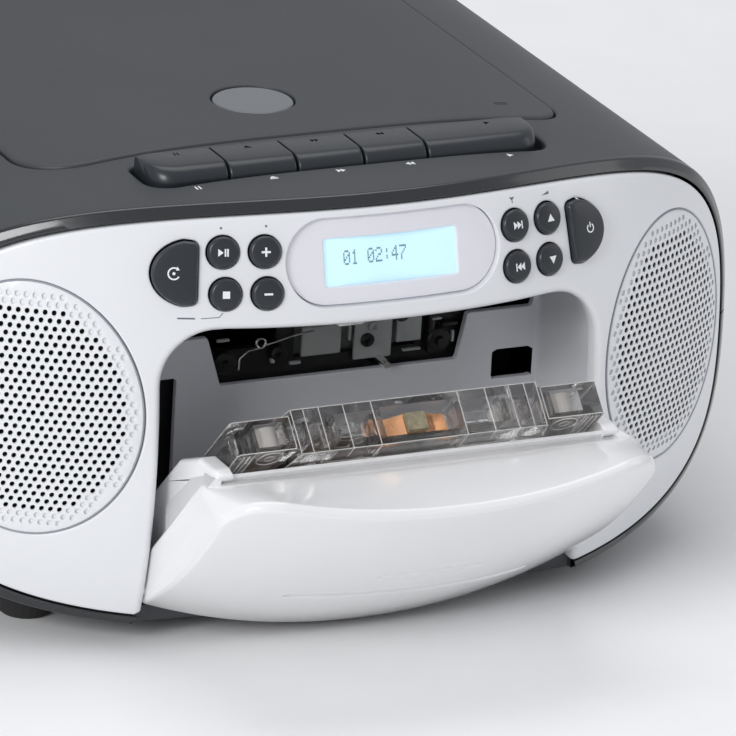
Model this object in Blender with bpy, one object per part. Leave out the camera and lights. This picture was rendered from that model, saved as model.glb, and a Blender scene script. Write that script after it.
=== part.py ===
"""Portable CD, cassette and radio player with its cassette door open and a clear cassette in it.

Lengths below are in millimetres; put() turns them into metres. X runs to the right, Y towards the back and Z up.
Depths are counted from the middle of the display, and heights from the table.
"""

import math

import bmesh
import bpy
from mathutils import Matrix, Vector

# Row frame
DEPTH_SHIFT = -84.85       # moves the display's middle so that the box is centred on Y
DISPLAY_Z = 101.5         # height of the middle of the display

# Front surface: one superellipse in plan, scaled with height
BOW_A = 178.8
BOW_B = 228.7
BOW_N = 2.11
LEAN = 0.2824
LEAN_SQ = 0.1284

# Fascia outline seen from the front, and the cabinet around it
FASCIA_HALF = 112.8
FASCIA_TOP = 114.2
FASCIA_BOTTOM = 7.5
MIDDLE_Z = 60.8
POWER_TOP = 3.3
POWER_BOTTOM = 4.0
WALL = 3.0
BACK_Y = 196.0
FASCIA_THICK = 3.0

# Cassette bay and its door
BAY_HALF = 60.3
BAY_TOP = 86.5
BAY_RADIUS = 15.0
BAY_BACK = 34.0
HINGE_Y = 11.3
HINGE_Z = 15.5
DOOR_OPEN = math.radians(45.0)
DOOR_HALF = 59.4
DOOR_TOP = 82.0
SHELF_Y = 18.3
SHELF_Z = 64.0

# Compact cassette, standing in the closed door
TAPE_HALF = 50.2
TAPE_Y = 22.0
TAPE_THICK = 8.7
TAPE_TOP = 71.5
TAPE_HEIGHT = 63.8
HUB_PITCH = 42.5
HUB_Z = TAPE_TOP - 34.8

# Controls on the fascia: name, x, height above the display's middle
ROUND_BUTTONS = (
    ("button_play_pause", -44.4, 3.6), ("button_plus", -34.2, 3.6),
    ("button_stop", -44.4, -6.4), ("button_minus", -34.2, -6.4),
    ("button_next", 34.2, 3.6), ("button_up", 44.4, 3.6),
    ("button_previous", 34.2, -6.4), ("button_down", 44.4, -6.4),
)
BUTTON_R = 3.95
SIDE_BUTTONS = (("button_mode", -55.8, -1), ("button_power", 56.2, 1))
LENS_HALF = 28.9
LENS_R = 10.5

# Speaker grilles, measured along the front surface
GRILLE_ARC = 93.0
GRILLE_Z = DISPLAY_Z - 38.1
GRILLE_HALF_ARC = 27.6
GRILLE_HALF_Z = 32.6

# Tape keys on top: name, left side, right side
KEYS = (
    ("key_pause", -53.4, -33.9), ("key_stop", -33.3, -15.2), ("key_forward", -14.6, 3.1),
    ("key_rewind", 3.7, 20.6), ("key_play", 21.2, 53.2),
)
KEY_FRONT = 28.0
KEY_BACK = 42.8
SHAFT_Y = 39.3
SHAFT_Z = 110.0

# CD lid on top
LID_X = (-77.0, 71.0)
LID_Y = (50.5, 182.0)
LID_CENTRE = (-3.0, 116.0)
LID_HINGE = (182.0, 117.7)

GAP = 0.35


def put(x, y, z):
    return Vector((x, y + DEPTH_SHIFT, z)) / 1000.0


def clear_scene():
    for thing in list(bpy.data.objects):
        bpy.data.objects.remove(thing, do_unlink=True)


def material(name, colour, roughness, metallic=0.0, alpha=1.0):
    made = bpy.data.materials.get(name)
    if made:
        return made
    made = bpy.data.materials.new(name)
    made.use_nodes = True
    shader = made.node_tree.nodes["Principled BSDF"]
    shader.inputs["Base Color"].default_value = (*colour, 1.0)
    shader.inputs["Roughness"].default_value = roughness
    shader.inputs["Metallic"].default_value = metallic
    shader.inputs["Alpha"].default_value = alpha
    made.diffuse_color = (*colour, alpha)
    return made


# ---- surfaces -------------------------------------------------------------------------------------------------

def front_y(x, z):
    """Depth of the front surface at x and at height z above the table."""
    h = z - DISPLAY_Z
    k = 1.0 - LEAN * h / BOW_B - LEAN_SQ * h * h / 10000.0
    t = min(abs(x) / (BOW_A * k), 0.98)
    return BOW_B * (1.0 - k * (1.0 - t ** BOW_N) ** (1.0 / BOW_N))


def front_frame(x, z):
    """Point on the front surface, with unit vectors along it, up it and out of it."""
    here = Vector((x, front_y(x, z), z))
    along = Vector((0.1, front_y(x + 0.05, z) - front_y(x - 0.05, z), 0.0)).normalized()
    up = Vector((0.0, front_y(x, z + 0.05) - front_y(x, z - 0.05), 0.1))
    up = (up - along * up.dot(along)).normalized()
    out = along.cross(up)
    return here, along, up, out


def arc_to_x(arc, z):
    """x of the point that lies arc millimetres from the middle, along the front surface."""
    x = 0.0
    run = 0.0
    step = 1.0
    while run < arc:
        piece = math.hypot(step, front_y(x + step, z) - front_y(x, z))
        if run + piece > arc:
            return x + step * (arc - run) / piece
        run += piece
        x += step
    return x


def signed_power(value, power):
    return math.copysign(abs(value) ** power, value)


def case_outline(offset, count=64):
    """Cabinet outline seen from the front, offset outwards from the fascia's outline."""
    points = []
    for i in range(count):
        angle = 2.0 * math.pi * i / count
        power = POWER_TOP if math.sin(angle) >= 0 else POWER_BOTTOM
        rise = FASCIA_TOP - MIDDLE_Z if math.sin(angle) >= 0 else MIDDLE_Z - FASCIA_BOTTOM
        x = (FASCIA_HALF + offset) * signed_power(math.cos(angle), 2.0 / power)
        z = MIDDLE_Z + (rise + offset) * signed_power(math.sin(angle), 2.0 / power)
        points.append((x, z))
    return points


def top_z(x, offset):
    """Height of the cabinet's top at x, offset outwards from the fascia's outline."""
    t = min(abs(x) / (FASCIA_HALF + offset), 0.999)
    return MIDDLE_Z + (FASCIA_TOP - MIDDLE_Z + offset) * (1.0 - t ** POWER_TOP) ** (1.0 / POWER_TOP)


def rounded_rect(x0, x1, y0, y1, radius, steps=5):
    """Corner-rounded rectangle, anticlockwise. radius is one number, or one per corner from the lower left."""
    radii = [radius] * 4 if isinstance(radius, (int, float)) else list(radius)
    corners = ((x0, y0, 180), (x1, y0, 270), (x1, y1, 0), (x0, y1, 90))
    signs = ((1, 1), (-1, 1), (-1, -1), (1, -1))
    points = []
    for (cx, cy, start), (sx, sy), r in zip(corners, signs, radii):
        if r <= 0:
            points.append((cx, cy))
            continue
        for i in range(steps + 1):
            a = math.radians(start + 90.0 * i / steps)
            points.append((cx + sx * r + r * math.cos(a), cy + sy * r + r * math.sin(a)))
    return points


def ring(radius, count, start=0.0):
    turn = 2.0 * math.pi / count
    return [(radius * math.cos(start + turn * i), radius * math.sin(start + turn * i)) for i in range(count)]


def arc_points(cx, cy, radius, start, end, steps):
    out = []
    for i in range(steps + 1):
        a = math.radians(start + (end - start) * i / steps)
        out.append((cx + radius * math.cos(a), cy + radius * math.sin(a)))
    return out


# ---- mesh helpers ---------------------------------------------------------------------------------------------

def finish_mesh(name, bm, smooth=False):
    bmesh.ops.remove_doubles(bm, verts=bm.verts, dist=1e-7)
    bmesh.ops.recalc_face_normals(bm, faces=bm.faces)
    mesh = bpy.data.meshes.new(name)
    bm.to_mesh(mesh)
    bm.free()
    for face in mesh.polygons:
        face.use_smooth = smooth
    thing = bpy.data.objects.new(name, mesh)
    bpy.context.scene.collection.objects.link(thing)
    return thing


def loft(name, loops, close=False):
    """Closed solid through loops of points with equal counts, in millimetres. close joins the last to the first."""
    bm = bmesh.new()
    rows = [[bm.verts.new(put(*p)) for p in loop] for loop in loops]
    count = len(rows[0])
    pairs = list(zip(rows, rows[1:]))
    if close:
        pairs.append((rows[-1], rows[0]))
    for a, b in pairs:
        for i in range(count):
            j = (i + 1) % count
            bm.faces.new((a[i], a[j], b[j], b[i]))
    if not close:
        bm.faces.new(rows[0])
        bm.faces.new(rows[-1])
    return finish_mesh(name, bm)


def prism(name, points, axis, low, high):
    """Outline pushed along one axis. The points are (x, z) for Y, (x, y) for Z and (y, z) for X."""
    def at(p, level):
        if axis == "X":
            return (level, p[0], p[1])
        if axis == "Y":
            return (p[0], level, p[1])
        return (p[0], p[1], level)
    return loft(name, [[at(p, low) for p in points], [at(p, high) for p in points]])


def box(name, x, y, z):
    return prism(name, [(x[0], y[0]), (x[1], y[0]), (x[1], y[1]), (x[0], y[1])], "Z", z[0], z[1])


def rod(name, start, end, radius, count=24, end_radius=None):
    """Round bar or cone from start to end, both in millimetres."""
    return turned(name, start, end, [(0.0, radius), (1.0, radius if end_radius is None else end_radius)], count)


def turned(name, start, end, profile, count=24):
    """Turned piece on the line from start to end. profile holds (share of the length, radius)."""
    a, b = Vector(start), Vector(end)
    axis = (b - a).normalized()
    side = axis.orthogonal().normalized()
    other = axis.cross(side)
    loops = []
    for share, radius in profile:
        here = a.lerp(b, share)
        loops.append([tuple(here + side * u + other * v) for u, v in ring(radius, count)])
    return loft(name, loops)


def tube(name, start, end, profile, count=24):
    """Turned ring. profile is a closed loop of (share of the length, radius)."""
    a, b = Vector(start), Vector(end)
    axis = (b - a).normalized()
    side = axis.orthogonal().normalized()
    other = axis.cross(side)
    loops = []
    for share, radius in profile:
        here = a.lerp(b, share)
        loops.append([tuple(here + side * u + other * v) for u, v in ring(radius, count)])
    return loft(name, loops, close=True)


def slab(name, xs, zs, near, far):
    """Solid between two depth functions over a grid of x and z."""
    bm = bmesh.new()
    grids = []
    for depth in (near, far):
        grids.append([[bm.verts.new(put(x, depth(x, z), z)) for x in xs] for z in zs])
    rows, cols = len(zs), len(xs)
    for grid in grids:
        for r in range(rows - 1):
            for c in range(cols - 1):
                bm.faces.new((grid[r][c], grid[r][c + 1], grid[r + 1][c + 1], grid[r + 1][c]))
    a, b = grids
    for r in range(rows - 1):
        for c in (0, cols - 1):
            bm.faces.new((a[r][c], a[r + 1][c], b[r + 1][c], b[r][c]))
    for c in range(cols - 1):
        for r in (0, rows - 1):
            bm.faces.new((a[r][c], a[r][c + 1], b[r][c + 1], b[r][c]))
    return finish_mesh(name, bm)


def boolean(thing, others, kind):
    """Applies each helper to the solid, then removes the helper."""
    for other in others:
        step = thing.modifiers.new("step", "BOOLEAN")
        step.operation = kind
        step.solver = "EXACT"
        step.object = other
        graph = bpy.context.evaluated_depsgraph_get()
        mesh = bpy.data.meshes.new_from_object(thing.evaluated_get(graph))
        thing.modifiers.clear()
        thing.data = mesh
        bpy.data.objects.remove(other, do_unlink=True)
    return thing


def cut(thing, *others):
    return boolean(thing, others, "DIFFERENCE")


def fuse(thing, *others):
    return boolean(thing, others, "UNION")


def keep(thing, *others):
    return boolean(thing, others, "INTERSECT")


def turn(thing, matrix):
    thing.data.transform(matrix)
    return thing


def on_front(name, x, z, outline, deep, proud, edge=0.0):
    """Outline pushed along the front surface's normal, from deep behind it to proud of it, with a rounded edge."""
    here, along, up, out = front_frame(x, z)
    def loop(level, shrink):
        return [tuple(here + along * (u * shrink) + up * (v * shrink) + out * level) for u, v in outline]
    loops = [loop(-deep, 1.0), loop(proud - edge, 1.0)]
    if edge > 0:
        size = max(math.hypot(u, v) for u, v in outline)
        loops.append(loop(proud - edge * 0.35, 1.0 - edge * 0.35 / size))
        loops.append(loop(proud, 1.0 - edge / size))
    return loft(name, loops)


def swing(y, z, angle):
    """Matrix that turns about the line along X through y and z, the top going forwards."""
    pivot = put(0.0, y, z)
    return Matrix.Translation(pivot) @ Matrix.Rotation(angle, 4, "X") @ Matrix.Translation(-pivot)


def done(thing, mat, origin=None, smooth=True):
    """Gives the solid its material, its origin and its shading."""
    thing.data.materials.clear()
    thing.data.materials.append(mat)
    for face in thing.data.polygons:
        face.material_index = 0
        face.use_smooth = False
    if origin is not None:
        base = put(*origin)
        thing.data.transform(Matrix.Translation(-base))
        thing.location = base
    if smooth:
        thing.data.shade_smooth()
        sharp = thing.data.attributes.get("sharp_edge") or thing.data.attributes.new("sharp_edge", "BOOLEAN", "EDGE")
        bm = bmesh.new()
        bm.from_mesh(thing.data)
        flags = [len(e.link_faces) != 2 or e.calc_face_angle(0.0) > 0.6 for e in bm.edges]
        bm.free()
        sharp.data.foreach_set("value", flags)
    return thing


# ---- materials ------------------------------------------------------------------------------------------------

def palette():
    return {
        "white": material("fascia_white", (0.86, 0.87, 0.89), 0.38),
        "gloss": material("door_white", (0.90, 0.90, 0.91), 0.14),
        "bay": material("bay_white", (0.74, 0.75, 0.77), 0.35),
        "grey": material("cabinet_grey", (0.085, 0.09, 0.10), 0.42),
        "dark": material("control_grey", (0.045, 0.05, 0.058), 0.35),
        "grille": material("grille_paint", (0.84, 0.85, 0.86), 0.40, 0.1),
        "black": material("mechanism_black", (0.012, 0.012, 0.013), 0.45),
        "steel": material("zinc_steel", (0.50, 0.51, 0.50), 0.32, 1.0),
        "bright": material("bright_steel", (0.78, 0.78, 0.78), 0.18, 1.0),
        "magnet": material("magnet_ferrite", (0.05, 0.05, 0.055), 0.6),
        "lens": material("display_lens", (0.86, 0.87, 0.93), 0.06, 0.0, 0.45),
        "lcd": material("display_cyan", (0.70, 0.90, 1.0), 0.3),
        "clear": material("cassette_clear", (0.62, 0.59, 0.56), 0.05, 0.0, 0.35),
        "hub": material("hub_white", (0.82, 0.82, 0.80), 0.4),
        "tape": material("tape_brown", (0.09, 0.05, 0.03), 0.35),
        "copper": material("pad_copper", (0.72, 0.38, 0.20), 0.28, 1.0),
        "felt": material("pad_felt", (0.26, 0.23, 0.14), 0.95),
        "rubber": material("rubber_black", (0.02, 0.02, 0.02), 0.8),
        "smoke": material("window_smoke", (0.20, 0.21, 0.23), 0.15, 0.0, 0.6),
        "board": material("board_green", (0.03, 0.16, 0.07), 0.5),
        "paper": material("cone_paper", (0.03, 0.03, 0.035), 0.8),
    }


# ---- cabinet --------------------------------------------------------------------------------------------------

def front_grid(step_x=11.8, step_z=12.2, half=118.0):
    xs = [-half + 2 * half * i / round(2 * half / step_x) for i in range(round(2 * half / step_x) + 1)]
    rows = round(122.0 / step_z)
    zs = [-1.0 + 122.0 * i / rows for i in range(rows + 1)]
    return xs, zs


def bay_outline(half, top, radius, bottom=-20.0):
    return rounded_rect(-half, half, bottom, top, (0, 0, radius, radius), 5)


def grille_outline(side, grow, z_grow=None, count=40):
    z_grow = grow if z_grow is None else z_grow
    points = []
    for u, v in ring(1.0, count):
        z = GRILLE_Z + (GRILLE_HALF_Z + z_grow) * v
        x = arc_to_x(GRILLE_ARC + (GRILLE_HALF_ARC + grow) * u, z)
        points.append((side * x, z))
    return points


def d_outline(side, grow=0.0):
    """Half-moon outline, its round side away from the middle."""
    points = [(-5.3 - grow, -6.6), (-5.3 - grow, 6.6)]
    points += arc_points(-5.0, 6.4, 1.6 + grow, 150, 90, 2)
    points += [(-4.4 + (10.6 + grow) * math.cos(math.radians(a)), (8.3 + grow) * math.sin(math.radians(a)))
               for a in range(80, -81, -16)]
    points += arc_points(-5.0, -6.4, 1.6 + grow, 270, 210, 2)
    return [(-side * -u, v) for u, v in points]


def lens_outline(grow):
    half = LENS_HALF + grow
    r = LENS_R + grow
    points = [(half - r + r * math.cos(math.radians(a)), r * math.sin(math.radians(a))) for a in range(-90, 91, 15)]
    return points + [(-u, -v) for u, v in points]


def lens_plate(name, grow, near, far):
    """Solid that follows the front surface inside the display's outline."""
    xs = [-32 + 4 * i for i in range(17)]
    zs = [DISPLAY_Z + v for v in (-13, -8, -4, 0, 4, 8, 13)]
    plate = slab(name, xs, zs, lambda x, z: front_y(x, z) + near, lambda x, z: front_y(x, z) + far)
    return keep(plate, prism("helper", [(u, DISPLAY_Z + v) for u, v in lens_outline(grow)], "Y", -60, 60))


def make_fascia(mats):
    xs, zs = front_grid()
    fascia = slab("fascia", xs, zs, front_y, lambda x, z: front_y(x, z) + FASCIA_THICK)
    keep(fascia, prism("helper", case_outline(0.0), "Y", -60, 120))
    cut(fascia, prism("helper", bay_outline(BAY_HALF, BAY_TOP, BAY_RADIUS), "Y", -60, 60))
    for side in (-1, 1):
        cut(fascia, prism("helper", grille_outline(side, GAP), "Y", -60, 120))
    cut(fascia, prism("helper", [(u, DISPLAY_Z + v) for u, v in lens_outline(GAP)], "Y", -60, 60))
    for _, x, h in ROUND_BUTTONS:
        cut(fascia, on_front("helper", x, DISPLAY_Z + h, ring(BUTTON_R + GAP, 20), 12, 8))
    for _, x, side in SIDE_BUTTONS:
        cut(fascia, on_front("helper", x, DISPLAY_Z - 1.4, d_outline(side, GAP), 12, 8))
        cut(fascia, rod("helper", (side * 58, HINGE_Y, HINGE_Z), (side * 66, HINGE_Y, HINGE_Z), 1.5, 16))
    return done(fascia, mats["white"])


def make_cabinet(mats):
    """Grey case in two halves, open at the front."""
    def ring_loop(offset, depth):
        return [(x, depth(x, z), z) for x, z in case_outline(offset)]

    def tub(name):
        loops = [
            ring_loop(GAP, lambda x, z: BACK_Y - 2.8),
            ring_loop(GAP, lambda x, z: front_y(x, z) + 0.5),
            ring_loop(GAP + 0.4, lambda x, z: front_y(x, z)),
            ring_loop(WALL - 0.5, lambda x, z: front_y(x, z) + 0.7),
            ring_loop(WALL, lambda x, z: front_y(x, z) + 1.7),
            ring_loop(WALL, lambda x, z: BACK_Y - 7.0),
            ring_loop(WALL - 1.0, lambda x, z: BACK_Y - 3.0),
            ring_loop(WALL - 3.6, lambda x, z: BACK_Y - 0.7),
            ring_loop(WALL - 6.5, lambda x, z: BACK_Y),
        ]
        return loft(name, loops)

    upper = keep(tub("cabinet_upper"), box("helper", (-150, 150), (-60, 260), (MIDDLE_Z + 0.2, 150)))
    cut(upper, prism("helper", rounded_rect(LID_X[0] - GAP, LID_X[1] + GAP, LID_Y[0] - GAP, LID_Y[1] + GAP,
                                            (16, 10, 10, 16)), "Z", 90, 150))
    cut(upper, prism("helper", rounded_rect(-55.2, 55.2, KEY_FRONT - 2.2, KEY_BACK + 0.9, (7, 7, 3, 3)), "Z", 90, 150))
    for side in (-1, 1):
        fuse(upper, turned("helper", (side * 113.2, 135, 75), (side * 121.8, 135, 75),
                           [(0, 6.5), (0.33, 6.5), (0.34, 4.6), (1, 4.6)], 20))
    done(upper, mats["grey"])

    lower = keep(tub("cabinet_lower"), box("helper", (-150, 150), (-60, 260), (-20, MIDDLE_Z - 0.2)))
    cut(lower, box("helper", (-BAY_HALF - 0.8, BAY_HALF + 0.8), (-60, 14.5), (-20, 30)))
    cut(lower, box("helper", (-50, 50), (185, 200), (20, 56)))
    cut(lower, box("helper", (-96.5, -81.5), (185, 200), (27.5, 38.5)))
    for x, y in FEET:
        cut(lower, rod("helper", (x, y, 2.0), (x, y, 16.0), 7.95, 24))
    cut(lower, box("helper", (-54.4, 54.4), (-30, 33.4), (6.2, 12.0)))
    done(lower, mats["grey"])


FEET = ((-78.0, 42.0), (78.0, 42.0), (-84.0, 172.0), (84.0, 172.0))


def make_feet(mats):
    names = ("foot_front_left", "foot_front_right", "foot_back_left", "foot_back_right")
    for name, (x, y) in zip(names, FEET):
        foot = turned(name, (x, y, 0.0), (x, y, 11.6), [(0, 6.2), (0.06, 7.0), (0.4, 7.6), (1, 7.6)], 24)
        done(foot, mats["rubber"])


def make_grilles(mats):
    for side, word in ((-1, "left"), (1, "right")):
        xs = [side * (61 + 3.5 * i) for i in range(15)]
        xs.sort()
        zs = [GRILLE_Z - 35 + 7 * i for i in range(11)]

        def dome(x, z, side=side):
            u = (x * side - 87.0) / 24.0
            v = (z - GRILLE_Z) / GRILLE_HALF_Z
            return 0.9 * max(0.0, 1.0 - u * u - v * v) ** 0.5

        grille = slab("grille_" + word, xs, zs, lambda x, z: front_y(x, z) + 0.35 - dome(x, z),
                      lambda x, z: front_y(x, z) + 1.55 - dome(x, z))
        keep(grille, prism("helper", grille_outline(side, 0.0), "Y", -60, 120))
        done(grille, mats["grille"])


def make_speakers(mats):
    for side, word in ((-1, "left"), (1, "right")):
        here, along, up, out = front_frame(side * 86.5, GRILLE_Z)
        start = here - out * 5.4
        back = here - out * 25.0
        basket = turned("speaker_" + word, tuple(start), tuple(back),
                        [(0, 23.6), (0.08, 23.6), (0.081, 21.6), (0.5, 11.0), (0.501, 12.0), (0.95, 12.0), (1, 11.0)], 28)
        cut(basket, turned("helper", tuple(start + out * 0.5), tuple(start - out * 8.5),
                           [(0, 20.8), (0.05, 20.8), (1.0, 8.0)], 28))
        fuse(basket, turned("helper", tuple(start - out * 4.6), tuple(start - out * 9.5),
                           [(0, 3.5), (0.35, 6.5), (1, 7.5)], 20))
        done(basket, mats["paper"])


# ---- controls and display -------------------------------------------------------------------------------------

def make_controls(mats):
    for name, x, h in ROUND_BUTTONS:
        button = on_front(name, x, DISPLAY_Z + h, ring(BUTTON_R, 24), 5.5, 1.5, 1.0)
        here = front_frame(x, DISPLAY_Z + h)[0]
        done(button, mats["dark"], tuple(here))
    for name, x, side in SIDE_BUTTONS:
        button = on_front(name, x, DISPLAY_Z - 1.4, d_outline(side), 5.5, 1.8, 1.2)
        here = front_frame(x, DISPLAY_Z - 1.4)[0]
        done(button, mats["dark"], tuple(here))
    done(lens_plate("display_lens", 0.0, 0.0, 2.6), mats["lens"])
    panel = prism("display_panel", rounded_rect(-21.5, 21.5, DISPLAY_Z - 8.5, DISPLAY_Z + 8.5, 1.0, 2), "Y", 6.6, 10.5)
    done(turn(panel, swing(8.0, DISPLAY_Z, -0.27)), mats["lcd"])


def make_keys(mats):
    for name, x0, x1 in KEYS:
        side = [(KEY_FRONT + 0.6, 107.0), (KEY_FRONT, 108.0), (KEY_FRONT, 115.6)]
        side += arc_points(KEY_FRONT + 4.0, 115.6, 4.0, 180, 90, 5)[1:]
        side += [(KEY_BACK - 0.6, 119.6), (KEY_BACK, 119.0), (KEY_BACK, 107.0)]
        key = prism(name, side, "X", x0, x1)
        corners = (6 if x0 < -50 else 0.6, 6 if x1 > 50 else 0.6, 0, 0)
        keep(key, prism("helper", rounded_rect(x0, x1, KEY_FRONT - 0.1, KEY_BACK + 1, corners, 4), "Z", 90, 130))
        cut(key, rod("helper", (x0 - 1, SHAFT_Y, SHAFT_Z), (x1 + 1, SHAFT_Y, SHAFT_Z), 1.56, 20))
        done(key, mats["dark"], (0.5 * (x0 + x1), SHAFT_Y, SHAFT_Z))
    done(rod("key_shaft", (-57, SHAFT_Y, SHAFT_Z), (57, SHAFT_Y, SHAFT_Z), 1.5, 20), mats["bright"])


# ---- CD deck --------------------------------------------------------------------------------------------------

def lid_strip(name, rise, drop, grow):
    """Curved strip under the cabinet's top, cut to the lid's outline."""
    x0, x1 = LID_X[0] - 1.0, LID_X[1] + 1.0
    xs = [x0 + (x1 - x0) * i / 20 for i in range(21)]
    outline = [(x, top_z(x, WALL) + rise) for x in xs] + [(x, top_z(x, WALL) - drop) for x in reversed(xs)]
    strip = prism(name, outline, "Y", 30, 200)
    plan = rounded_rect(LID_X[0] - grow, LID_X[1] + grow, LID_Y[0] - grow, LID_Y[1] + grow, (16, 10, 10, 16))
    return keep(strip, prism("helper", plan, "Z", 80, 150))


def lid_window_outline(grow):
    return [(-5.5 + (10.6 + grow) * u, 77.5 + (10.5 + grow) * v) for u, v in ring(1.0, 28)]


def make_cd_deck(mats):
    cx, cy = LID_CENTRE
    lid = lid_strip("cd_lid", 0.5, 2.2, 0.0)
    cut(lid, prism("helper", lid_window_outline(0.3), "Z", 100, 130))
    fuse(lid, box("helper", (-40, -26), (174, 180.5), (111.2, 115.8)), box("helper", (20, 34), (174, 180.5), (111.2, 115.8)))
    done(lid, mats["grey"], (0, LID_HINGE[0], LID_HINGE[1]))
    window = prism("lid_window", lid_window_outline(0.0), "Z", 115.0, 117.4)
    done(window, mats["smoke"], (0, LID_HINGE[0], LID_HINGE[1]))

    deck = prism("cd_deck", rounded_rect(-83, 77, 46.5, 187, 6, 4), "Z", 96.0, 106.6)
    cut(deck, prism("helper", ring_at(cx, cy, 61.5, 48), "Z", 98.0, 130))
    cut(deck, prism("helper", rounded_rect(cx - 8, cx + 42, cy - 10, cy + 10, 4, 3), "Z", 90, 130))
    cut(deck, box("helper", (-42, 36), (172, 183), (100, 130)))
    done(deck, mats["dark"])
    hub = turned("cd_spindle", (cx, cy, 91.0), (cx, cy, 107.5),
                 [(0, 4.5), (0.3, 4.5), (0.31, 7.6), (0.74, 7.6), (0.741, 7.3), (0.92, 7.3), (1, 5.5)], 28)
    done(hub, mats["dark"], (cx, cy, 98.0))
    sled = box("cd_pickup", (cx + 10.5, cx + 22), (cy - 7, cy + 7), (93.0, 98.5))
    fuse(sled, rod("helper", (cx + 15, cy, 98.0), (cx + 15, cy, 100.6), 3.2, 20))
    done(sled, mats["black"], (cx + 15, cy, 98.0))


def ring_at(cx, cy, radius, count):
    return [(cx + u, cy + v) for u, v in ring(radius, count)]


# ---- cassette door --------------------------------------------------------------------------------------------

def door_bottom(x):
    return 7.6 + 3.6 * (abs(x) / 60.0) ** 2


def opened(thing):
    return turn(thing, swing(HINGE_Y, HINGE_Z, DOOR_OPEN))


def make_door(mats):
    xs = [-60 + 7.5 * i for i in range(17)]
    zs = [4 + 8.7 * i for i in range(10)]
    outline = rounded_rect(-DOOR_HALF, DOOR_HALF, 0, DOOR_TOP, (0, 0, 14, 14), 5)[2:]
    lower = [(-DOOR_HALF + 2 * DOOR_HALF * i / 16, door_bottom(-DOOR_HALF + 2 * DOOR_HALF * i / 16)) for i in range(17)]
    panel = slab("door_panel", xs, zs, front_y, lambda x, z: SHELF_Y - 0.3)
    keep(panel, prism("helper", lower + outline, "Y", -60, 60))
    shelf = [(-1.0, 120.0), (-1.0, DOOR_TOP - 0.8), (SHELF_Y + 1.0, SHELF_Z - 0.7), (60, SHELF_Z - 0.7), (60, 120)]
    cut(panel, prism("helper", shelf, "X", -80, 80))
    inner = slab("helper", [-56.8, -40, -20, 0, 20, 40, 56.8], [11.4 + 10 * i for i in range(8)],
                 lambda x, z: front_y(x, z) + 2.3, lambda x, z: 30.0)
    keep(inner, prism("helper2", [(-60, 200), (-60, DOOR_TOP + 37.0), (30, DOOR_TOP - 50.0 + 1.0), (30, 0), (-60, 0)][::-1],
                      "X", -80, 80))
    cut(panel, inner)
    for side in (-1, 1):
        ear = rod("helper", (side * 56.9, HINGE_Y, HINGE_Z), (side * 61.9, HINGE_Y, HINGE_Z), 1.2, 16)
        fuse(panel, ear)
    opened(panel)
    done(panel, mats["gloss"], (0, HINGE_Y, HINGE_Z))

    cheek = [(SHELF_Y, 6.6), (31.6, 6.6), (32.4, 20.0), (32.5, 37.0), (32.5, 47.5), (27.6, 59.0), (21.5, 64.5), (SHELF_Y, 65.6)]
    holder = prism("door_holder", cheek, "X", -53.8, 53.8)
    cut(holder, box("helper", (-50.6, 50.6), (19.9, 31.1), (7.5, 90)))
    cut(holder, box("helper", (-46.5, 46.5), (30.5, 40), (7.5, 90)), box("helper", (-60, 60), (30.9, 40), (40, 90)))
    opened(holder)
    done(holder, mats["gloss"], (0, HINGE_Y, HINGE_Z))


# ---- cassette -------------------------------------------------------------------------------------------------

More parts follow.
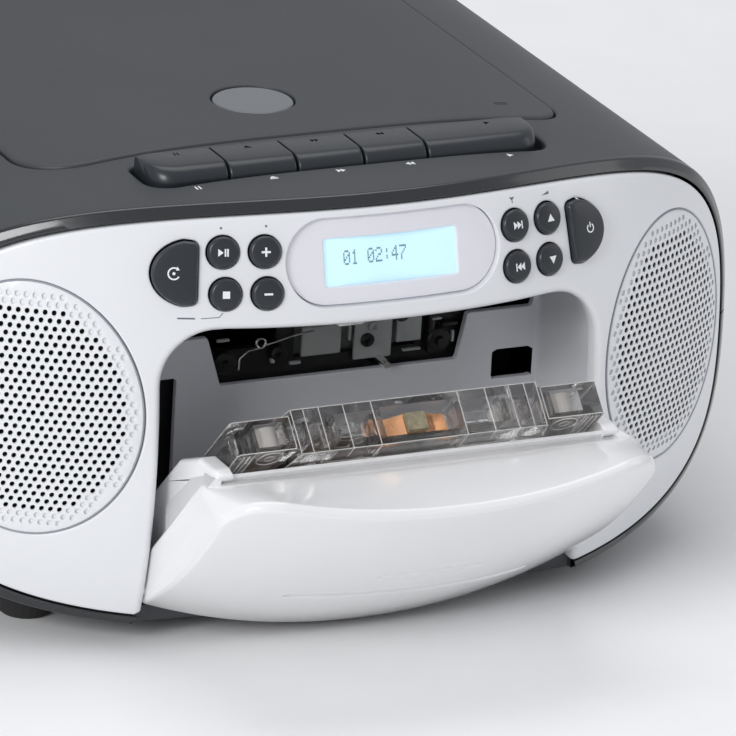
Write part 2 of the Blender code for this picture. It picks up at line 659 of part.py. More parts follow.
def make_cassette(mats):
    y0, y1 = TAPE_Y, TAPE_Y + TAPE_THICK
    mid = 0.5 * (y0 + y1)
    low = TAPE_TOP - TAPE_HEIGHT
    shell = prism("cassette_shell", rounded_rect(-TAPE_HALF, TAPE_HALF, low, TAPE_TOP, 1.6, 2), "Y", y0, y1)
    tapered = [(-33.6, TAPE_TOP), (-37.0, TAPE_TOP - 16.5), (37.0, TAPE_TOP - 16.5), (33.6, TAPE_TOP)]
    fuse(shell, prism("helper", tapered, "Y", mid - 6.0, mid + 6.0))
    reel_room = [(-45, TAPE_TOP - 8.5), (-46.5, low + 6), (-40, low + 1.6), (40, low + 1.6), (46.5, low + 6),
                 (45, TAPE_TOP - 8.5)]
    cut(shell, prism("helper", reel_room, "Y", y0 + 1.3, y1 - 1.3))
    for side in (-1, 1):
        cut(shell, rod("helper", (side * HUB_PITCH / 2, y0 - 2, HUB_Z), (side * HUB_PITCH / 2, y1 + 2, HUB_Z), 5.6, 24))
        cut(shell, box("helper", sorted((side * 36.5, side * 44.2)), (y0 + 1.3, y1 - 1.3), (TAPE_TOP - 9.0, TAPE_TOP + 2)))
        cut(shell, box("helper", sorted((side * 11.2, side * 22.4)), (y0 + 0.9, y1 - 0.9), (TAPE_TOP - 8.8, TAPE_TOP + 2)))
    cut(shell, box("helper", (-10.0, 10.0), (y0 + 0.4, y1 - 0.4), (TAPE_TOP - 8.8, TAPE_TOP + 2)))
    for x in (-27.5, 27.5, -14.2, 14.2):
        cut(shell, rod("helper", (x, mid - 10, TAPE_TOP - 11.5), (x, mid + 10, TAPE_TOP - 11.5), 2.4, 16))
    opened(shell)
    done(shell, mats["clear"])

    for side, word in ((-1, "left"), (1, "right")):
        x = side * HUB_PITCH / 2
        a, b = (x, y0 + 1.6, HUB_Z), (x, y1 - 1.6, HUB_Z)
        hub = tube("tape_hub_" + word, a, b, [(0, 5.2), (0, 10.9), (1, 10.9), (1, 5.2)], 28)
        for i in range(6):
            angle = math.radians(60 * i)
            centre = Vector((x + 4.9 * math.cos(angle), mid, HUB_Z + 4.9 * math.sin(angle)))
            tooth = box("helper", (-0.9, 0.9), (-2.4, 2.4), (-0.6, 0.6))
            tooth.data.transform(Matrix.Translation(-put(0, 0, 0)))
            tooth.data.transform(Matrix.Translation(put(*centre)) @ Matrix.Rotation(-angle, 4, "Y"))
            fuse(hub, tooth)
        opened(hub)
        done(hub, mats["hub"], opened_point(x, mid, HUB_Z))
        rx = side * 40.3
        rz = TAPE_TOP - 4.6
        roller = tube("guide_roller_" + word, (rx, y0 + 1.6, rz), (rx, y1 - 1.6, rz),
                      [(0, 1.0), (0, 3.3), (1, 3.3), (1, 1.0)], 24)
        opened(roller)
        done(roller, mats["hub"], opened_point(rx, mid, rz))
    x = -HUB_PITCH / 2
    pack = tube("tape_pack", (x, y0 + 2.3, HUB_Z), (x, y1 - 2.3, HUB_Z), [(0, 11.0), (0, 23.0), (1, 23.0), (1, 11.0)], 40)
    opened(pack)
    done(pack, mats["tape"], opened_point(x, mid, HUB_Z))

    spring = prism("pad_spring", [(-9.6, TAPE_TOP - 8.0), (-9.6, TAPE_TOP - 6.2), (-6, TAPE_TOP - 5.4), (-2.8, TAPE_TOP - 3.4),
                                  (2.8, TAPE_TOP - 3.4), (6, TAPE_TOP - 5.4), (9.6, TAPE_TOP - 6.2), (9.6, TAPE_TOP - 8.0),
                                  (9.2, TAPE_TOP - 8.0), (9.2, TAPE_TOP - 6.5), (5.8, TAPE_TOP - 5.8),
                                  (2.6, TAPE_TOP - 3.8), (-2.6, TAPE_TOP - 3.8), (-5.8, TAPE_TOP - 5.8),
                                  (-9.2, TAPE_TOP - 6.5), (-9.2, TAPE_TOP - 8.0)], "Y", y0 + 1.6, y1 - 1.6)
    opened(spring)
    done(spring, mats["copper"])
    felt = box("pad_felt", (-2.6, 2.6), (y0 + 2.0, y1 - 2.0), (TAPE_TOP - 3.38, TAPE_TOP - 1.6))
    opened(felt)
    done(felt, mats["felt"])


def opened_point(x, y, z):
    c, s = math.cos(DOOR_OPEN), math.sin(DOOR_OPEN)
    dy, dz = y - HINGE_Y, z - HINGE_Z
    return (x, HINGE_Y + dy * c - dz * s, HINGE_Z + dz * c + dy * s)


# ---- bay and tape mechanism -----------------------------------------------------------------------------------

def make_bay(mats):
    def near(x, z):
        return front_y(x, z) + FASCIA_THICK + GAP

    outer = bay_outline(BAY_HALF + 2.0, BAY_TOP + 2.0, BAY_RADIUS + 2.0, 9.0)
    bay = slab("bay_liner", [-64, -48, -32, -16, 0, 16, 32, 48, 64], [0 + 15 * i for i in range(7)],
               near, lambda x, z: BAY_BACK + 1.8)
    keep(bay, prism("helper", outer, "Y", -60, 60))
    inner = loft("helper", [[(u * s, y, v) for u, v in bay_outline(BAY_HALF, BAY_TOP, BAY_RADIUS)]
                            for y, s in ((-60, 1.0), (20.0, 1.0), (BAY_BACK, 0.945))])
    cut(bay, inner)
    window = [(-43.5, 90), (-43.5, 71.5), (-34.7, 71.5), (-30.6, 58.2), (35.2, 58.2), (37.6, 70.5), (56.0, 70.5), (56.0, 90)]
    cut(bay, prism("helper", [(x, min(z, BAY_TOP - 2.0)) for x, z in window], "Y", 20, 60))
    cut(bay, box("helper", (45.4, 56.4), (20, 60), (51.5, 59.5)))
    cut(bay, box("helper", (-50.5, -44.5), (20, 60), (22.0, 63.0)))
    for side in (-1, 1):
        cut(bay, rod("helper", (side * HUB_PITCH / 2, 20, HUB_Z), (side * HUB_PITCH / 2, 60, HUB_Z), 6.5, 20))
        cut(bay, rod("helper", (side * 55, HINGE_Y, HINGE_Z), (side * 70, HINGE_Y, HINGE_Z), 1.26, 16))
    done(bay, mats["bay"])


def make_mechanism(mats):
    chassis = box("deck_chassis", (-46, 42), (38.0, 40.0), (22, 84))
    for side in (-1, 1):
        cut(chassis, rod("helper", (side * HUB_PITCH / 2, 30, HUB_Z), (side * HUB_PITCH / 2, 60, HUB_Z), 5.2, 20))
    cut(chassis, rod("helper", (14.2, 30, 60.0), (14.2, 60, 60.0), 2.2, 16), box("helper", (-9, 25), (30, 60), (62, 80)),
        box("helper", (-40, -14), (30, 60), (66, 78)))
    fuse(chassis, box("helper", (-46, -43.5), (39.5, 62), (22, 84)), box("helper", (39.5, 42), (39.5, 62), (22, 84)))
    done(chassis, mats["black"])
    plate = box("deck_plate", (-12, 27), (42.0, 43.2), (60, 84))
    cut(plate, box("helper", (-2, 6), (30, 60), (79, 90)), box("helper", (16, 21), (30, 60), (76, 90)),
        rod("helper", (14.2, 30, 60.0), (14.2, 60, 60.0), 2.6, 16), rod("helper", (1.5, 30, 68), (1.5, 60, 68), 2.5, 16),
        box("helper", (21.5, 30), (30, 60), (55, 66)))
    done(plate, mats["steel"])

    for side, word in ((-1, "left"), (1, "right")):
        x = side * HUB_PITCH / 2
        spindle = turned("spindle_" + word, (x, 28.6, HUB_Z), (x, 52, HUB_Z),
                         [(0, 1.6), (0.08, 3.0), (0.24, 3.1), (0.25, 4.4), (0.55, 4.4), (0.551, 10.5), (0.72, 10.5),
                          (0.721, 3.0), (1, 3.0)], 24)
        done(spindle, mats["black"], (x, 40, HUB_Z))
    flywheel = turned("capstan_flywheel", (14.2, 31.0, 60.0), (14.2, 58.0, 60.0),
                      [(0, 0.9), (0.04, 1.1), (0.62, 1.1), (0.621, 14.5), (0.93, 14.5), (0.931, 2.0), (1, 2.0)], 32)
    done(flywheel, mats["bright"], (14.2, 45, 60.0))

    sled = box("head_sled", (-30, 30), (36.2, 37.6), (74.5, 83.5))
    fuse(sled, box("helper", (-9, 9), (27.0, 36.4), (81.1, 83.5)))
    done(sled, mats["steel"], (0, 36, 79))
    head = prism("tape_head", [(-6.2, 80.7), (-6.2, 77.0), (-3.0, 74.9), (3.0, 74.9), (6.2, 77.0), (6.2, 80.7)], "Y", 24.0, 30.4)
    done(head, mats["bright"], (0, 36, 79))

    arm = box("pinch_arm", (13.0, 22.5), (33.6, 35.4), (78.8, 82.2))
    fuse(arm, box("helper", (13.0, 16.0), (23.0, 35.0), (79.2, 81.8)))
    done(arm, mats["black"], (21.0, 34, 80.4))
    roller = tube("pinch_roller", (14.5, 24.5, 76.4), (14.5, 31.5, 76.4), [(0, 0.8), (0, 2.3), (1, 2.3), (1, 0.8)], 20)
    done(roller, mats["rubber"], (14.5, 28, 76.4))
    done(wire_spring("wire_spring"), mats["bright"])


def wire_spring(name):
    """Bent wire in front of the mechanism."""
    path = [(-23.4, 64.2), (-21.4, 65.6), (-16.0, 67.0), (-10.2, 68.2), (-5.4, 68.9)]
    points = [(x, 36.4, z) for x, z in path]
    loops = []
    for i, here in enumerate(points):
        before = Vector(points[max(0, i - 1)])
        after = Vector(points[min(len(points) - 1, i + 1)])
        way = (after - before).normalized()
        side = way.cross(Vector((0, 1, 0))).normalized()
        loops.append([tuple(Vector(here) + side * u + Vector((0, v, 0))) for u, v in ring(0.32, 8)])
    return loft(name, loops)


# ---- back and carrying handle ---------------------------------------------------------------------------------

def make_back(mats):
    """Handle, antenna, battery door, inlet and board."""
    inner = arc_points(-107.0, 199.0, 10.0, 180, 90, 4) + arc_points(107.0, 199.0, 10.0, 90, 0, 4)
    outer = arc_points(107.0, 202.1, 14.4, 0, 90, 5) + arc_points(-107.0, 202.1, 14.4, 90, 180, 5)
    plan = [(-121.4, 127.5), (-117.0, 127.5)] + inner + [(117.0, 127.5), (121.4, 127.5)] + outer
    bar = prism("handle", plan, "Z", 68.5, 81.5)
    for side in (-1, 1):
        cut(bar, rod("helper", (side * 110, 135, 75), (side * 130, 135, 75), 4.7, 20))
    done(bar, mats["grey"], (0, 135, 75))

    door = box("battery_door", (-49.6, 49.6), (193.4, 195.6), (20.4, 55.6))
    fuse(door, box("helper", (-6, 6), (195, 196.8), (49, 53)))
    done(door, mats["grey"], (0, 195.8, 20.6))

    inlet = prism("mains_inlet", rounded_rect(-96.1, -81.9, 27.9, 38.1, 3.0, 3), "Y", 181.0, 195.6)
    cut(inlet, prism("helper", rounded_rect(-94.6, -83.4, 29.4, 36.6, 3.0, 3), "Y", 184.0, 200.0))
    fuse(inlet, rod("helper", (-92.5, 183.5, 33.0), (-92.5, 193.0, 33.0), 1.1, 12),
         rod("helper", (-85.5, 183.5, 33.0), (-85.5, 193.0, 33.0), 1.1, 12))
    done(inlet, mats["black"])

    mast = rod("antenna_mast", (96.0, 200.3, 93.0), (-84.0, 200.3, 93.0), 2.4, 16)
    fuse(mast, rod("helper", (96.0, 196.6, 93.0), (96.0, 203.4, 93.0), 4.4, 20),
         rod("helper", (-83.5, 200.3, 93.0), (-90.0, 200.3, 93.0), 3.2, 16))
    done(mast, mats["bright"], (96.0, 200.3, 93.0))

    board = box("main_board", (-72, 66), (64, 160), (84.0, 85.6))
    done(board, mats["board"])


def main():
    clear_scene()
    mats = palette()
    make_fascia(mats)
    make_cabinet(mats)
    make_feet(mats)
    make_grilles(mats)
    make_speakers(mats)
    make_controls(mats)
    make_keys(mats)
    make_cd_deck(mats)
    make_door(mats)
    make_cassette(mats)
    make_bay(mats)
    make_mechanism(mats)
    make_back(mats)


main()
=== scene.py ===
"""Looks of the portable CD, cassette and radio player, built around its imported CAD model.

Lengths are in millimetres in the maker's frame: X to the right, Y to the back counted from the middle of the
display, and Z up from the table. place() turns them into metres in the row frame.
"""

import math

import bmesh
import bpy
import numpy as np
from mathutils import Matrix, Vector

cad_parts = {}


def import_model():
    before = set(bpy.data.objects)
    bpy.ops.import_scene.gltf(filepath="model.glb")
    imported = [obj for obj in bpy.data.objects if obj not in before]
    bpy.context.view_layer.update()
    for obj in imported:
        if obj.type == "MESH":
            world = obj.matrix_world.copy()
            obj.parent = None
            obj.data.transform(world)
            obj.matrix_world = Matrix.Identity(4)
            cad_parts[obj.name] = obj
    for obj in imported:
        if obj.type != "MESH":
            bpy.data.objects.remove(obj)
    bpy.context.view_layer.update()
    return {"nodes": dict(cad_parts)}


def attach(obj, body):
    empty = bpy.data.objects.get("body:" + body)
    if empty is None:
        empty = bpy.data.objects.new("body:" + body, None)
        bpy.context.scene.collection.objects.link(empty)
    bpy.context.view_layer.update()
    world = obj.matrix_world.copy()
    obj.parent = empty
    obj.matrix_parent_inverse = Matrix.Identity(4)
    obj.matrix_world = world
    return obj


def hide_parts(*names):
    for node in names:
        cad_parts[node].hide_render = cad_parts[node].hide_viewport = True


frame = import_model()

# Frame
DEPTH_SHIFT = -84.85
DISPLAY_Z = 101.5

# Front surface
BOW_A = 178.8
BOW_B = 228.7
BOW_N = 2.11
LEAN = 0.2824
LEAN_SQ = 0.1284

# Outlines
FASCIA_HALF = 112.8
FASCIA_TOP = 114.2
FASCIA_BOTTOM = 7.5
MIDDLE_Z = 60.8
POWER_TOP = 3.3
POWER_BOTTOM = 4.0
WALL = 3.0
SKIN_START = 1.7
BACK_Y = 196.0
ROUND_Y = BACK_Y - 7.0
BACK_ROUND = 6.8
BAY_HALF = 60.3
BAY_TOP = 86.5
BAY_RADIUS = 15.0
BAY_BACK = 34.0

# Door and cassette
HINGE_Y = 11.3
HINGE_Z = 15.5
DOOR_OPEN = math.radians(45.0)
DOOR_HALF = 59.4
DOOR_TOP = 82.0
DOOR_CORNER = 14.0
SHELF_Y = 18.3
SHELF_Z = 64.0
TAPE_Y = 22.0
TAPE_THICK = 8.7
TAPE_TOP = 71.5
HUB_PITCH = 42.5
HUB_Z = TAPE_TOP - 34.8

# Controls
ROUND_BUTTONS = (
    ("play_pause", -44.4, 3.6), ("plus", -34.2, 3.6), ("stop", -44.4, -6.4), ("minus", -34.2, -6.4),
    ("next", 34.2, 3.6), ("up", 44.4, 3.6), ("previous", 34.2, -6.4), ("down", 44.4, -6.4),
)
BUTTON_R = 3.95
SIDE_BUTTONS = (("mode", -55.8, -1), ("power", 56.2, 1))
SIDE_DROP = -1.4
LENS_HALF = 28.9
LENS_R = 10.5
GRILLE_ARC = 93.0
GRILLE_Z = DISPLAY_Z - 38.1
GRILLE_HALF_ARC = 27.6
GRILLE_HALF_Z = 32.6
HOLE_PITCH = 2.25
HOLE_R = 0.73
KEYS = (("pause", -53.4, -33.9), ("stop", -33.3, -15.2), ("forward", -14.6, 3.1), ("rewind", 3.7, 20.6),
        ("play", 21.2, 53.2))
KEY_FRONT = 28.0
KEY_BACK = 42.8
KEY_TOP = 119.6
LID_X = (-77.0, 71.0)
LID_Y = (50.5, 182.0)
LID_CORNERS = (16, 10, 10, 16)
WINDOW_AT = (-5.5, 77.5)
FEET = ((-78.0, 42.0), (78.0, 42.0), (-84.0, 172.0), (84.0, 172.0))
BATTERY_HOLE = (-50, 50, 20, 56)
INLET_HOLE = (-96.5, -81.5, 27.5, 38.5)
BACK_SCREWS = ((-90, 88), (90, 78), (-60, 14.6), (60, 14.6), (84, 24))
GAP = 0.35

# Directions
TO_SIDE = (1, 0, 0)
TO_BACK = (0, 1, 0)
TO_FRONT = (0, -1, 0)
TO_TOP = (0, 0, 1)


# ---- camera, light and floor ----

CAMERA_AT = (-793.56, -1608.39, 758.52)
CAMERA_RIGHT = (0.91002, -0.41134, 0.05173)
CAMERA_UP = (0.09805, 0.33478, 0.93718)
CAMERA_BACK = (-0.40281, -0.84778, 0.34499)


def place(x, y, z):
    return Vector((x, y + DEPTH_SHIFT, z)) / 1000.0


def make_camera():
    data = bpy.data.cameras.new("camera")
    data.lens = 377.68
    data.sensor_width = 36.0
    data.shift_x = 0.10598
    data.shift_y = -0.14674
    data.clip_start = 0.05
    data.clip_end = 20.0
    camera = bpy.data.objects.new("camera", data)
    turn = Matrix((CAMERA_RIGHT, CAMERA_UP, CAMERA_BACK)).transposed().to_4x4()
    camera.matrix_world = Matrix.Translation(place(*CAMERA_AT)) @ turn
    bpy.context.scene.collection.objects.link(camera)
    bpy.context.scene.camera = camera


def area_light(name, at, toward, size, power, colour=(1.0, 1.0, 1.0)):
    data = bpy.data.lights.new(name, "AREA")
    data.shape = "RECTANGLE"
    data.size, data.size_y = size
    data.energy = power
    data.color = colour
    lamp = bpy.data.objects.new(name, data)
    lamp.location = at
    lamp.rotation_mode = "QUATERNION"
    lamp.rotation_quaternion = (Vector(toward) - Vector(at)).to_track_quat("-Z", "Y")
    bpy.context.scene.collection.objects.link(lamp)


def make_studio():
    world = bpy.data.worlds.new("studio")
    world.use_nodes = True
    world.node_tree.nodes["Background"].inputs["Color"].default_value = (0.93, 0.95, 1.0, 1.0)
    world.node_tree.nodes["Background"].inputs["Strength"].default_value = 0.50
    bpy.context.scene.world = world
    bpy.context.scene.view_settings.view_transform = "Standard"
    area_light("key", (-1.9, -1.15, 1.15), (0, -0.05, 0.05), (0.9, 0.9), 27)
    area_light("top", (0.1, 0.35, 1.7), (0, 0, 0.08), (1.5, 0.9), 9)
    area_light("side", (1.7, -0.6, 0.8), (0, 0, 0.06), (0.8, 1.2), 3)
    ground = bpy.data.meshes.new("floor")
    bm = bmesh.new()
    count = 24
    grid = [[bm.verts.new((6.0 * (i / count - 0.5), 6.0 * (j / count - 0.5), 0.0)) for i in range(count + 1)]
            for j in range(count + 1)]
    for j in range(count):
        for i in range(count):
            bm.faces.new((grid[j][i], grid[j][i + 1], grid[j + 1][i + 1], grid[j + 1][i]))
    bm.to_mesh(ground)
    bm.free()
    ground.materials.append(finish("floor_paper", (0.93, 0.93, 0.93), 0.75, vary=0.01, bump=0.02, grain=120))
    board = bpy.data.objects.new("floor", ground)
    bpy.context.scene.collection.objects.link(board)


# ---- materials ----

def finish(name, colour, rough, metal=0.0, vary=0.03, vary_scale=35.0, bump=0.05, grain=900.0, depth=0.00004,
           coat=0.0, coat_rough=0.05, transmission=0.0, ior=1.47, alpha=1.0, glow=0.0, swing=0.05,
           stretch=None):
    """Procedural surface: slow drift in colour, and a fine grain in the roughness and the bump."""
    made = bpy.data.materials.new(name)
    made.use_nodes = True
    nodes, link = made.node_tree.nodes, made.node_tree.links.new
    shader = nodes["Principled BSDF"]

    def node(kind, **inputs):
        new = nodes.new("ShaderNode" + kind)
        for key, value in inputs.items():
            new.inputs[key.replace("_", " ")].default_value = value
        return new

    source = node("TexCoord").outputs["Object"]
    if stretch:
        mapping = node("Mapping", Scale=stretch)
        link(source, mapping.inputs["Vector"])
        source = mapping.outputs["Vector"]
    slow = node("TexNoise", Scale=vary_scale, Detail=3.0)
    link(source, slow.inputs["Vector"])
    ramp = node("ValToRGB")
    for stop, at, share in zip(ramp.color_ramp.elements, (0.3, 0.7), (1.0 - vary, 1.0 + vary)):
        stop.position = at
        stop.color = (*(min(1.0, c * share) for c in colour), 1.0)
    link(slow.outputs["Fac"], ramp.inputs["Fac"])
    link(ramp.outputs["Color"], shader.inputs["Base Color"])
    fine = node("TexNoise", Scale=grain, Detail=2.0)
    link(source, fine.inputs["Vector"])
    spread = node("MapRange", To_Min=max(0.02, rough - swing), To_Max=min(1.0, rough + swing))
    link(fine.outputs["Fac"], spread.inputs["Value"])
    link(spread.outputs["Result"], shader.inputs["Roughness"])
    if bump > 0:
        relief = node("Bump", Strength=bump, Distance=depth)
        link(fine.outputs["Fac"], relief.inputs["Height"])
        link(relief.outputs["Normal"], shader.inputs["Normal"])
    plain = {"Metallic": metal, "IOR": ior, "Coat Weight": coat, "Coat Roughness": coat_rough,
             "Transmission Weight": transmission, "Alpha": alpha}
    if glow > 0:
        plain["Emission Strength"] = glow
        link(ramp.outputs["Color"], shader.inputs["Emission Color"])
    for key, value in plain.items():
        shader.inputs[key].default_value = value
    return made


def make_palette():
    return {
        "white": finish("fascia_white", (0.80, 0.81, 0.83), 0.33, vary=0.008, bump=0.10, grain=1500, coat=0.25,
                        coat_rough=0.12),
        "gloss": finish("door_white", (0.86, 0.86, 0.865), 0.20, vary=0.008, bump=0.03, grain=400, coat=0.6,
                        coat_rough=0.05),
        "bay": finish("bay_white", (0.70, 0.71, 0.74), 0.34, vary=0.01, bump=0.08, grain=1300, coat=0.2),
        "grey": finish("cabinet_grey", (0.050, 0.054, 0.059), 0.46, vary=0.05, bump=0.55, grain=2600,
                       depth=0.00006),
        # Darker than the cabinet grey. On the cabinet's front edge strips this is painted shade, for a strip
        # less lit than the top; on the key signs it is their own grey.
        "rim": finish("rim_shade_and_sign_grey", (0.018, 0.020, 0.023), 0.24, vary=0.03, bump=0.05, coat=0.5, coat_rough=0.08),
        "dark": finish("control_grey", (0.022, 0.026, 0.031), 0.34, vary=0.04, bump=0.10, grain=1400,
                       coat=0.15, coat_rough=0.15),
        "grille": finish("grille_paint", (0.80, 0.81, 0.825), 0.36, vary=0.01, bump=0.12, grain=1200, coat=0.2),
        "black": finish("mechanism_black", (0.010, 0.010, 0.011), 0.42, vary=0.15, bump=0.25, grain=900),
        "steel": finish("zinc_steel", (0.46, 0.48, 0.48), 0.42, metal=0.85, vary=0.06, bump=0.2, grain=500,
                        stretch=(1, 1, 6)),
        "plate": finish("plate_grey", (0.40, 0.42, 0.41), 0.45, metal=0.25, vary=0.06, bump=0.2, grain=500),
        # Pale, part see-through lines along the cassette's edges, ribs and rings: painted highlights for the
        # glints on the clear plastic.
        "glint": finish("painted_edge_glint", (0.92, 0.90, 0.88), 0.12, vary=0.01, bump=0.02, alpha=0.7, coat=0.5),
        "bright": finish("bright_steel", (0.80, 0.80, 0.80), 0.16, metal=1.0, vary=0.03, bump=0.1, grain=700,
                         stretch=(1, 8, 8)),
        "lens": finish("display_lens", (0.90, 0.90, 0.96), 0.05, vary=0.005, bump=0.0, coat=0.5, alpha=0.12),
        "bezel": finish("display_bezel", (0.83, 0.82, 0.86), 0.35, vary=0.01, bump=0.05),
        "lcd": finish("display_cyan", (0.58, 0.86, 0.98), 0.30, vary=0.03, vary_scale=60, bump=0.02, glow=0.34),
        "ink_teal": finish("ink_teal", (0.05, 0.20, 0.25), 0.4, bump=0.02),
        "clear": finish("cassette_clear", (0.95, 0.93, 0.91), 0.04, vary=0.02, bump=0.06, grain=350,
                        depth=0.0001, transmission=1.0, ior=1.33, alpha=0.8, swing=0.02),
        "hub": finish("hub_white", (0.80, 0.80, 0.78), 0.38, vary=0.02, bump=0.08),
        "tape": finish("tape_brown", (0.085, 0.05, 0.03), 0.30, vary=0.2, bump=0.2, grain=2500),
        "copper": finish("pad_copper", (0.80, 0.42, 0.22), 0.26, metal=1.0, vary=0.05, bump=0.12, grain=700),
        "felt": finish("pad_felt", (0.27, 0.24, 0.16), 0.95, vary=0.25, vary_scale=900, bump=0.9, grain=3000,
                       depth=0.0002),
        "rubber": finish("rubber_black", (0.022, 0.022, 0.023), 0.75, vary=0.1, bump=0.3, grain=1500),
        "smoke": finish("window_smoke", (0.13, 0.14, 0.15), 0.12, vary=0.05, bump=0.04, coat=0.5),
        "board": finish("board_green", (0.03, 0.14, 0.065), 0.45, vary=0.15, vary_scale=200, bump=0.2),
        "paper": finish("cone_paper", (0.025, 0.025, 0.03), 0.85, vary=0.2, vary_scale=300, bump=0.6,
                        grain=2200, depth=0.0001),
        "ink_white": finish("ink_white", (0.86, 0.87, 0.88), 0.42, vary=0.01, bump=0.04),
        "ink_grey": finish("ink_grey", (0.16, 0.17, 0.19), 0.45, vary=0.02, bump=0.04),
        "seam": finish("seam_grey", (0.30, 0.31, 0.34), 0.5, vary=0.02, bump=0.05),
        # Near-black sheet behind the grille holes: painted shade, so the open holes read dark.
        "shadow": finish("painted_shadow_sheet", (0.012, 0.012, 0.013), 0.9, vary=0.2, bump=0.5, grain=2500),
        "roller": finish("roller_grey", (0.42, 0.40, 0.38), 0.30, vary=0.05, bump=0.05),
    }


mats = {}


# ---- surfaces ----

def front_y(x, z):
    """Depth of the front surface at x and at height z above the table. Takes numbers or arrays."""
    h = np.asarray(z, float) - DISPLAY_Z
    k = 1.0 - LEAN * h / BOW_B - LEAN_SQ * h * h / 10000.0
    t = np.minimum(np.abs(x) / (BOW_A * k), 0.98)
    return BOW_B * (1.0 - k * (1.0 - t ** BOW_N) ** (1.0 / BOW_N))


def front_frame(x, z):
    """Plane on the front surface: a point, and unit vectors along it, up it and out of it."""
    here = Vector((x, float(front_y(x, z)), z))
    along = Vector((0.1, float(front_y(x + 0.05, z) - front_y(x - 0.05, z)), 0.0)).normalized()
    up = Vector((0.0, float(front_y(x, z + 0.05) - front_y(x, z - 0.05)), 0.1))
    up = (up - along * up.dot(along)).normalized()
    return here, along, up, along.cross(up)


def top_frame(x, y, above=0.0):
    """Plane on the cabinet's top, or so far above it."""
    along = Vector((1, 0, float(top_z(x + 0.5) - top_z(x - 0.5)))).normalized()
    up = Vector((0, 1, 0))
    return Vector((x, y, float(top_z(x)) + above)), along, up, along.cross(up)


def on_plane(flat, plane, level=0.0):
    """A flat outline laid on a plane and lifted off it."""
    here, along, up, out = (Vector(v) for v in plane)
    return [tuple(here + along * u + up * v + out * level) for u, v in flat]


def quarter(steps):
    """Sine, and one less the cosine, of even steps over a quarter turn. Rolled edges are made with them."""
    return [(math.sin(a), 1 - math.cos(a)) for a in (0.5 * math.pi * i / steps for i in range(steps + 1))]


def unit(rows, least=1e-9):
    return rows / np.maximum(np.linalg.norm(rows, axis=1)[:, None], least)


def box(x0, x1, z0, z1):
    return [(x0, z0), (x1, z0), (x1, z1), (x0, z1)]


def cross(arm, half):
    """Outline of an upright cross, anticlockwise."""
    return [(-arm, -half), (-half, -half), (-half, -arm), (half, -arm), (half, -half), (arm, -half),
            (arm, half), (half, half), (half, arm), (-half, arm), (-half, half), (-arm, half)]


def oval(cx, cy, across, tall, count):
    return [(cx + across * math.cos(a), cy + tall * math.sin(a))
            for a in (2 * math.pi * i / count for i in range(count))]


def arc_length(x, z):
    """Length along the front surface from the middle to x, at height z. Takes arrays."""
    steps = np.linspace(0.0, 1.0, 49)
    xs = np.abs(np.asarray(x, float))[..., None] * steps
    ys = front_y(xs, np.asarray(z, float)[..., None])
    return np.sqrt(np.diff(xs) ** 2 + np.diff(ys) ** 2).sum(-1)


def arc_to_x(arc, z):
    """x of the point that lies arc along the front surface, at height z. Takes arrays."""
    x = np.asarray(arc, float) * 0.94
    for _ in range(5):
        x = x + (arc - arc_length(x, z)) * 0.9
    return x


def case_outline(offset, count, start=0.0, stop=2.0 * math.pi):
    """Cabinet outline from the front, offset outwards from the fascia's outline, as arrays x and z."""
    angle = np.linspace(start, stop, count)
    c, s = np.cos(angle), np.sin(angle)
    power = np.where(s >= 0, POWER_TOP, POWER_BOTTOM)
    rise = np.where(s >= 0, FASCIA_TOP - MIDDLE_Z, MIDDLE_Z - FASCIA_BOTTOM)
    x = (FASCIA_HALF + offset) * np.sign(c) * np.abs(c) ** (2.0 / power)
    z = MIDDLE_Z + (rise + offset) * np.sign(s) * np.abs(s) ** (2.0 / power)
    return x, z


def top_z(x, offset=WALL):
    t = np.minimum(np.abs(x) / (FASCIA_HALF + offset), 0.9999)
    return MIDDLE_Z + (FASCIA_TOP - MIDDLE_Z + offset) * (1.0 - t ** POWER_TOP) ** (1.0 / POWER_TOP)


def bottom_z(x, offset=WALL):
    t = np.minimum(np.abs(x) / (FASCIA_HALF + offset), 0.9999)
    return MIDDLE_Z - (MIDDLE_Z - FASCIA_BOTTOM + offset) * (1.0 - t ** POWER_BOTTOM) ** (1.0 / POWER_BOTTOM)


# ---- outlines ----

def rounded_rect(x0, x1, y0, y1, radius, steps=8):
    """Corner-rounded rectangle, anticlockwise. radius is one number, or one per corner from the lower left."""
    radii = [radius] * 4 if isinstance(radius, (int, float)) else list(radius)
    corners = ((x0, y0, 180), (x1, y0, 270), (x1, y1, 0), (x0, y1, 90))
    signs = ((1, 1), (-1, 1), (-1, -1), (1, -1))
    points = []
    for (cx, cy, start), (sx, sy), r in zip(corners, signs, radii):
        if r <= 0:
            points.append((cx, cy))
            continue
        for i in range(steps + 1):
            a = math.radians(start + 90.0 * i / steps)
            points.append((cx + sx * r + r * math.cos(a), cy + sy * r + r * math.sin(a)))
    return points


def arc_points(cx, cy, radius, start, end, steps):
    angles = [math.radians(start + (end - start) * i / steps) for i in range(steps + 1)]
    return [(cx + radius * math.cos(a), cy + radius * math.sin(a)) for a in angles]


def d_outline(side, grow=0.0):
    """Half-moon outline, its round side away from the middle."""
    points = arc_points(-3.9, 6.4, 1.4 + grow, 180, 105, 6)
    points += [(-4.4 + (10.6 + grow) * math.cos(math.radians(a)), (8.3 + grow) * math.sin(math.radians(a)))
               for a in range(76, -77, -4)]
    points += arc_points(-3.9, -6.4, 1.4 + grow, 255, 180, 6)
    return [(side * u, v) for u, v in points]


def lens_outline(grow):
    half = LENS_HALF + grow
    r = LENS_R + grow
    points = [(half - r + r * math.cos(math.radians(a)), r * math.sin(math.radians(a)))
              for a in range(-90, 91, 6)]
    return points + [(-u, -v) for u, v in points]


def circle(cx, cy, radius, count=40):
    return oval(cx, cy, radius, radius, count)


def on_front_outline(x, z, outline):
    """An outline drawn on the plane that touches the front surface at x and z, as seen from the front."""
    return [(px, pz) for px, _, pz in on_plane(outline, front_frame(x, z))]


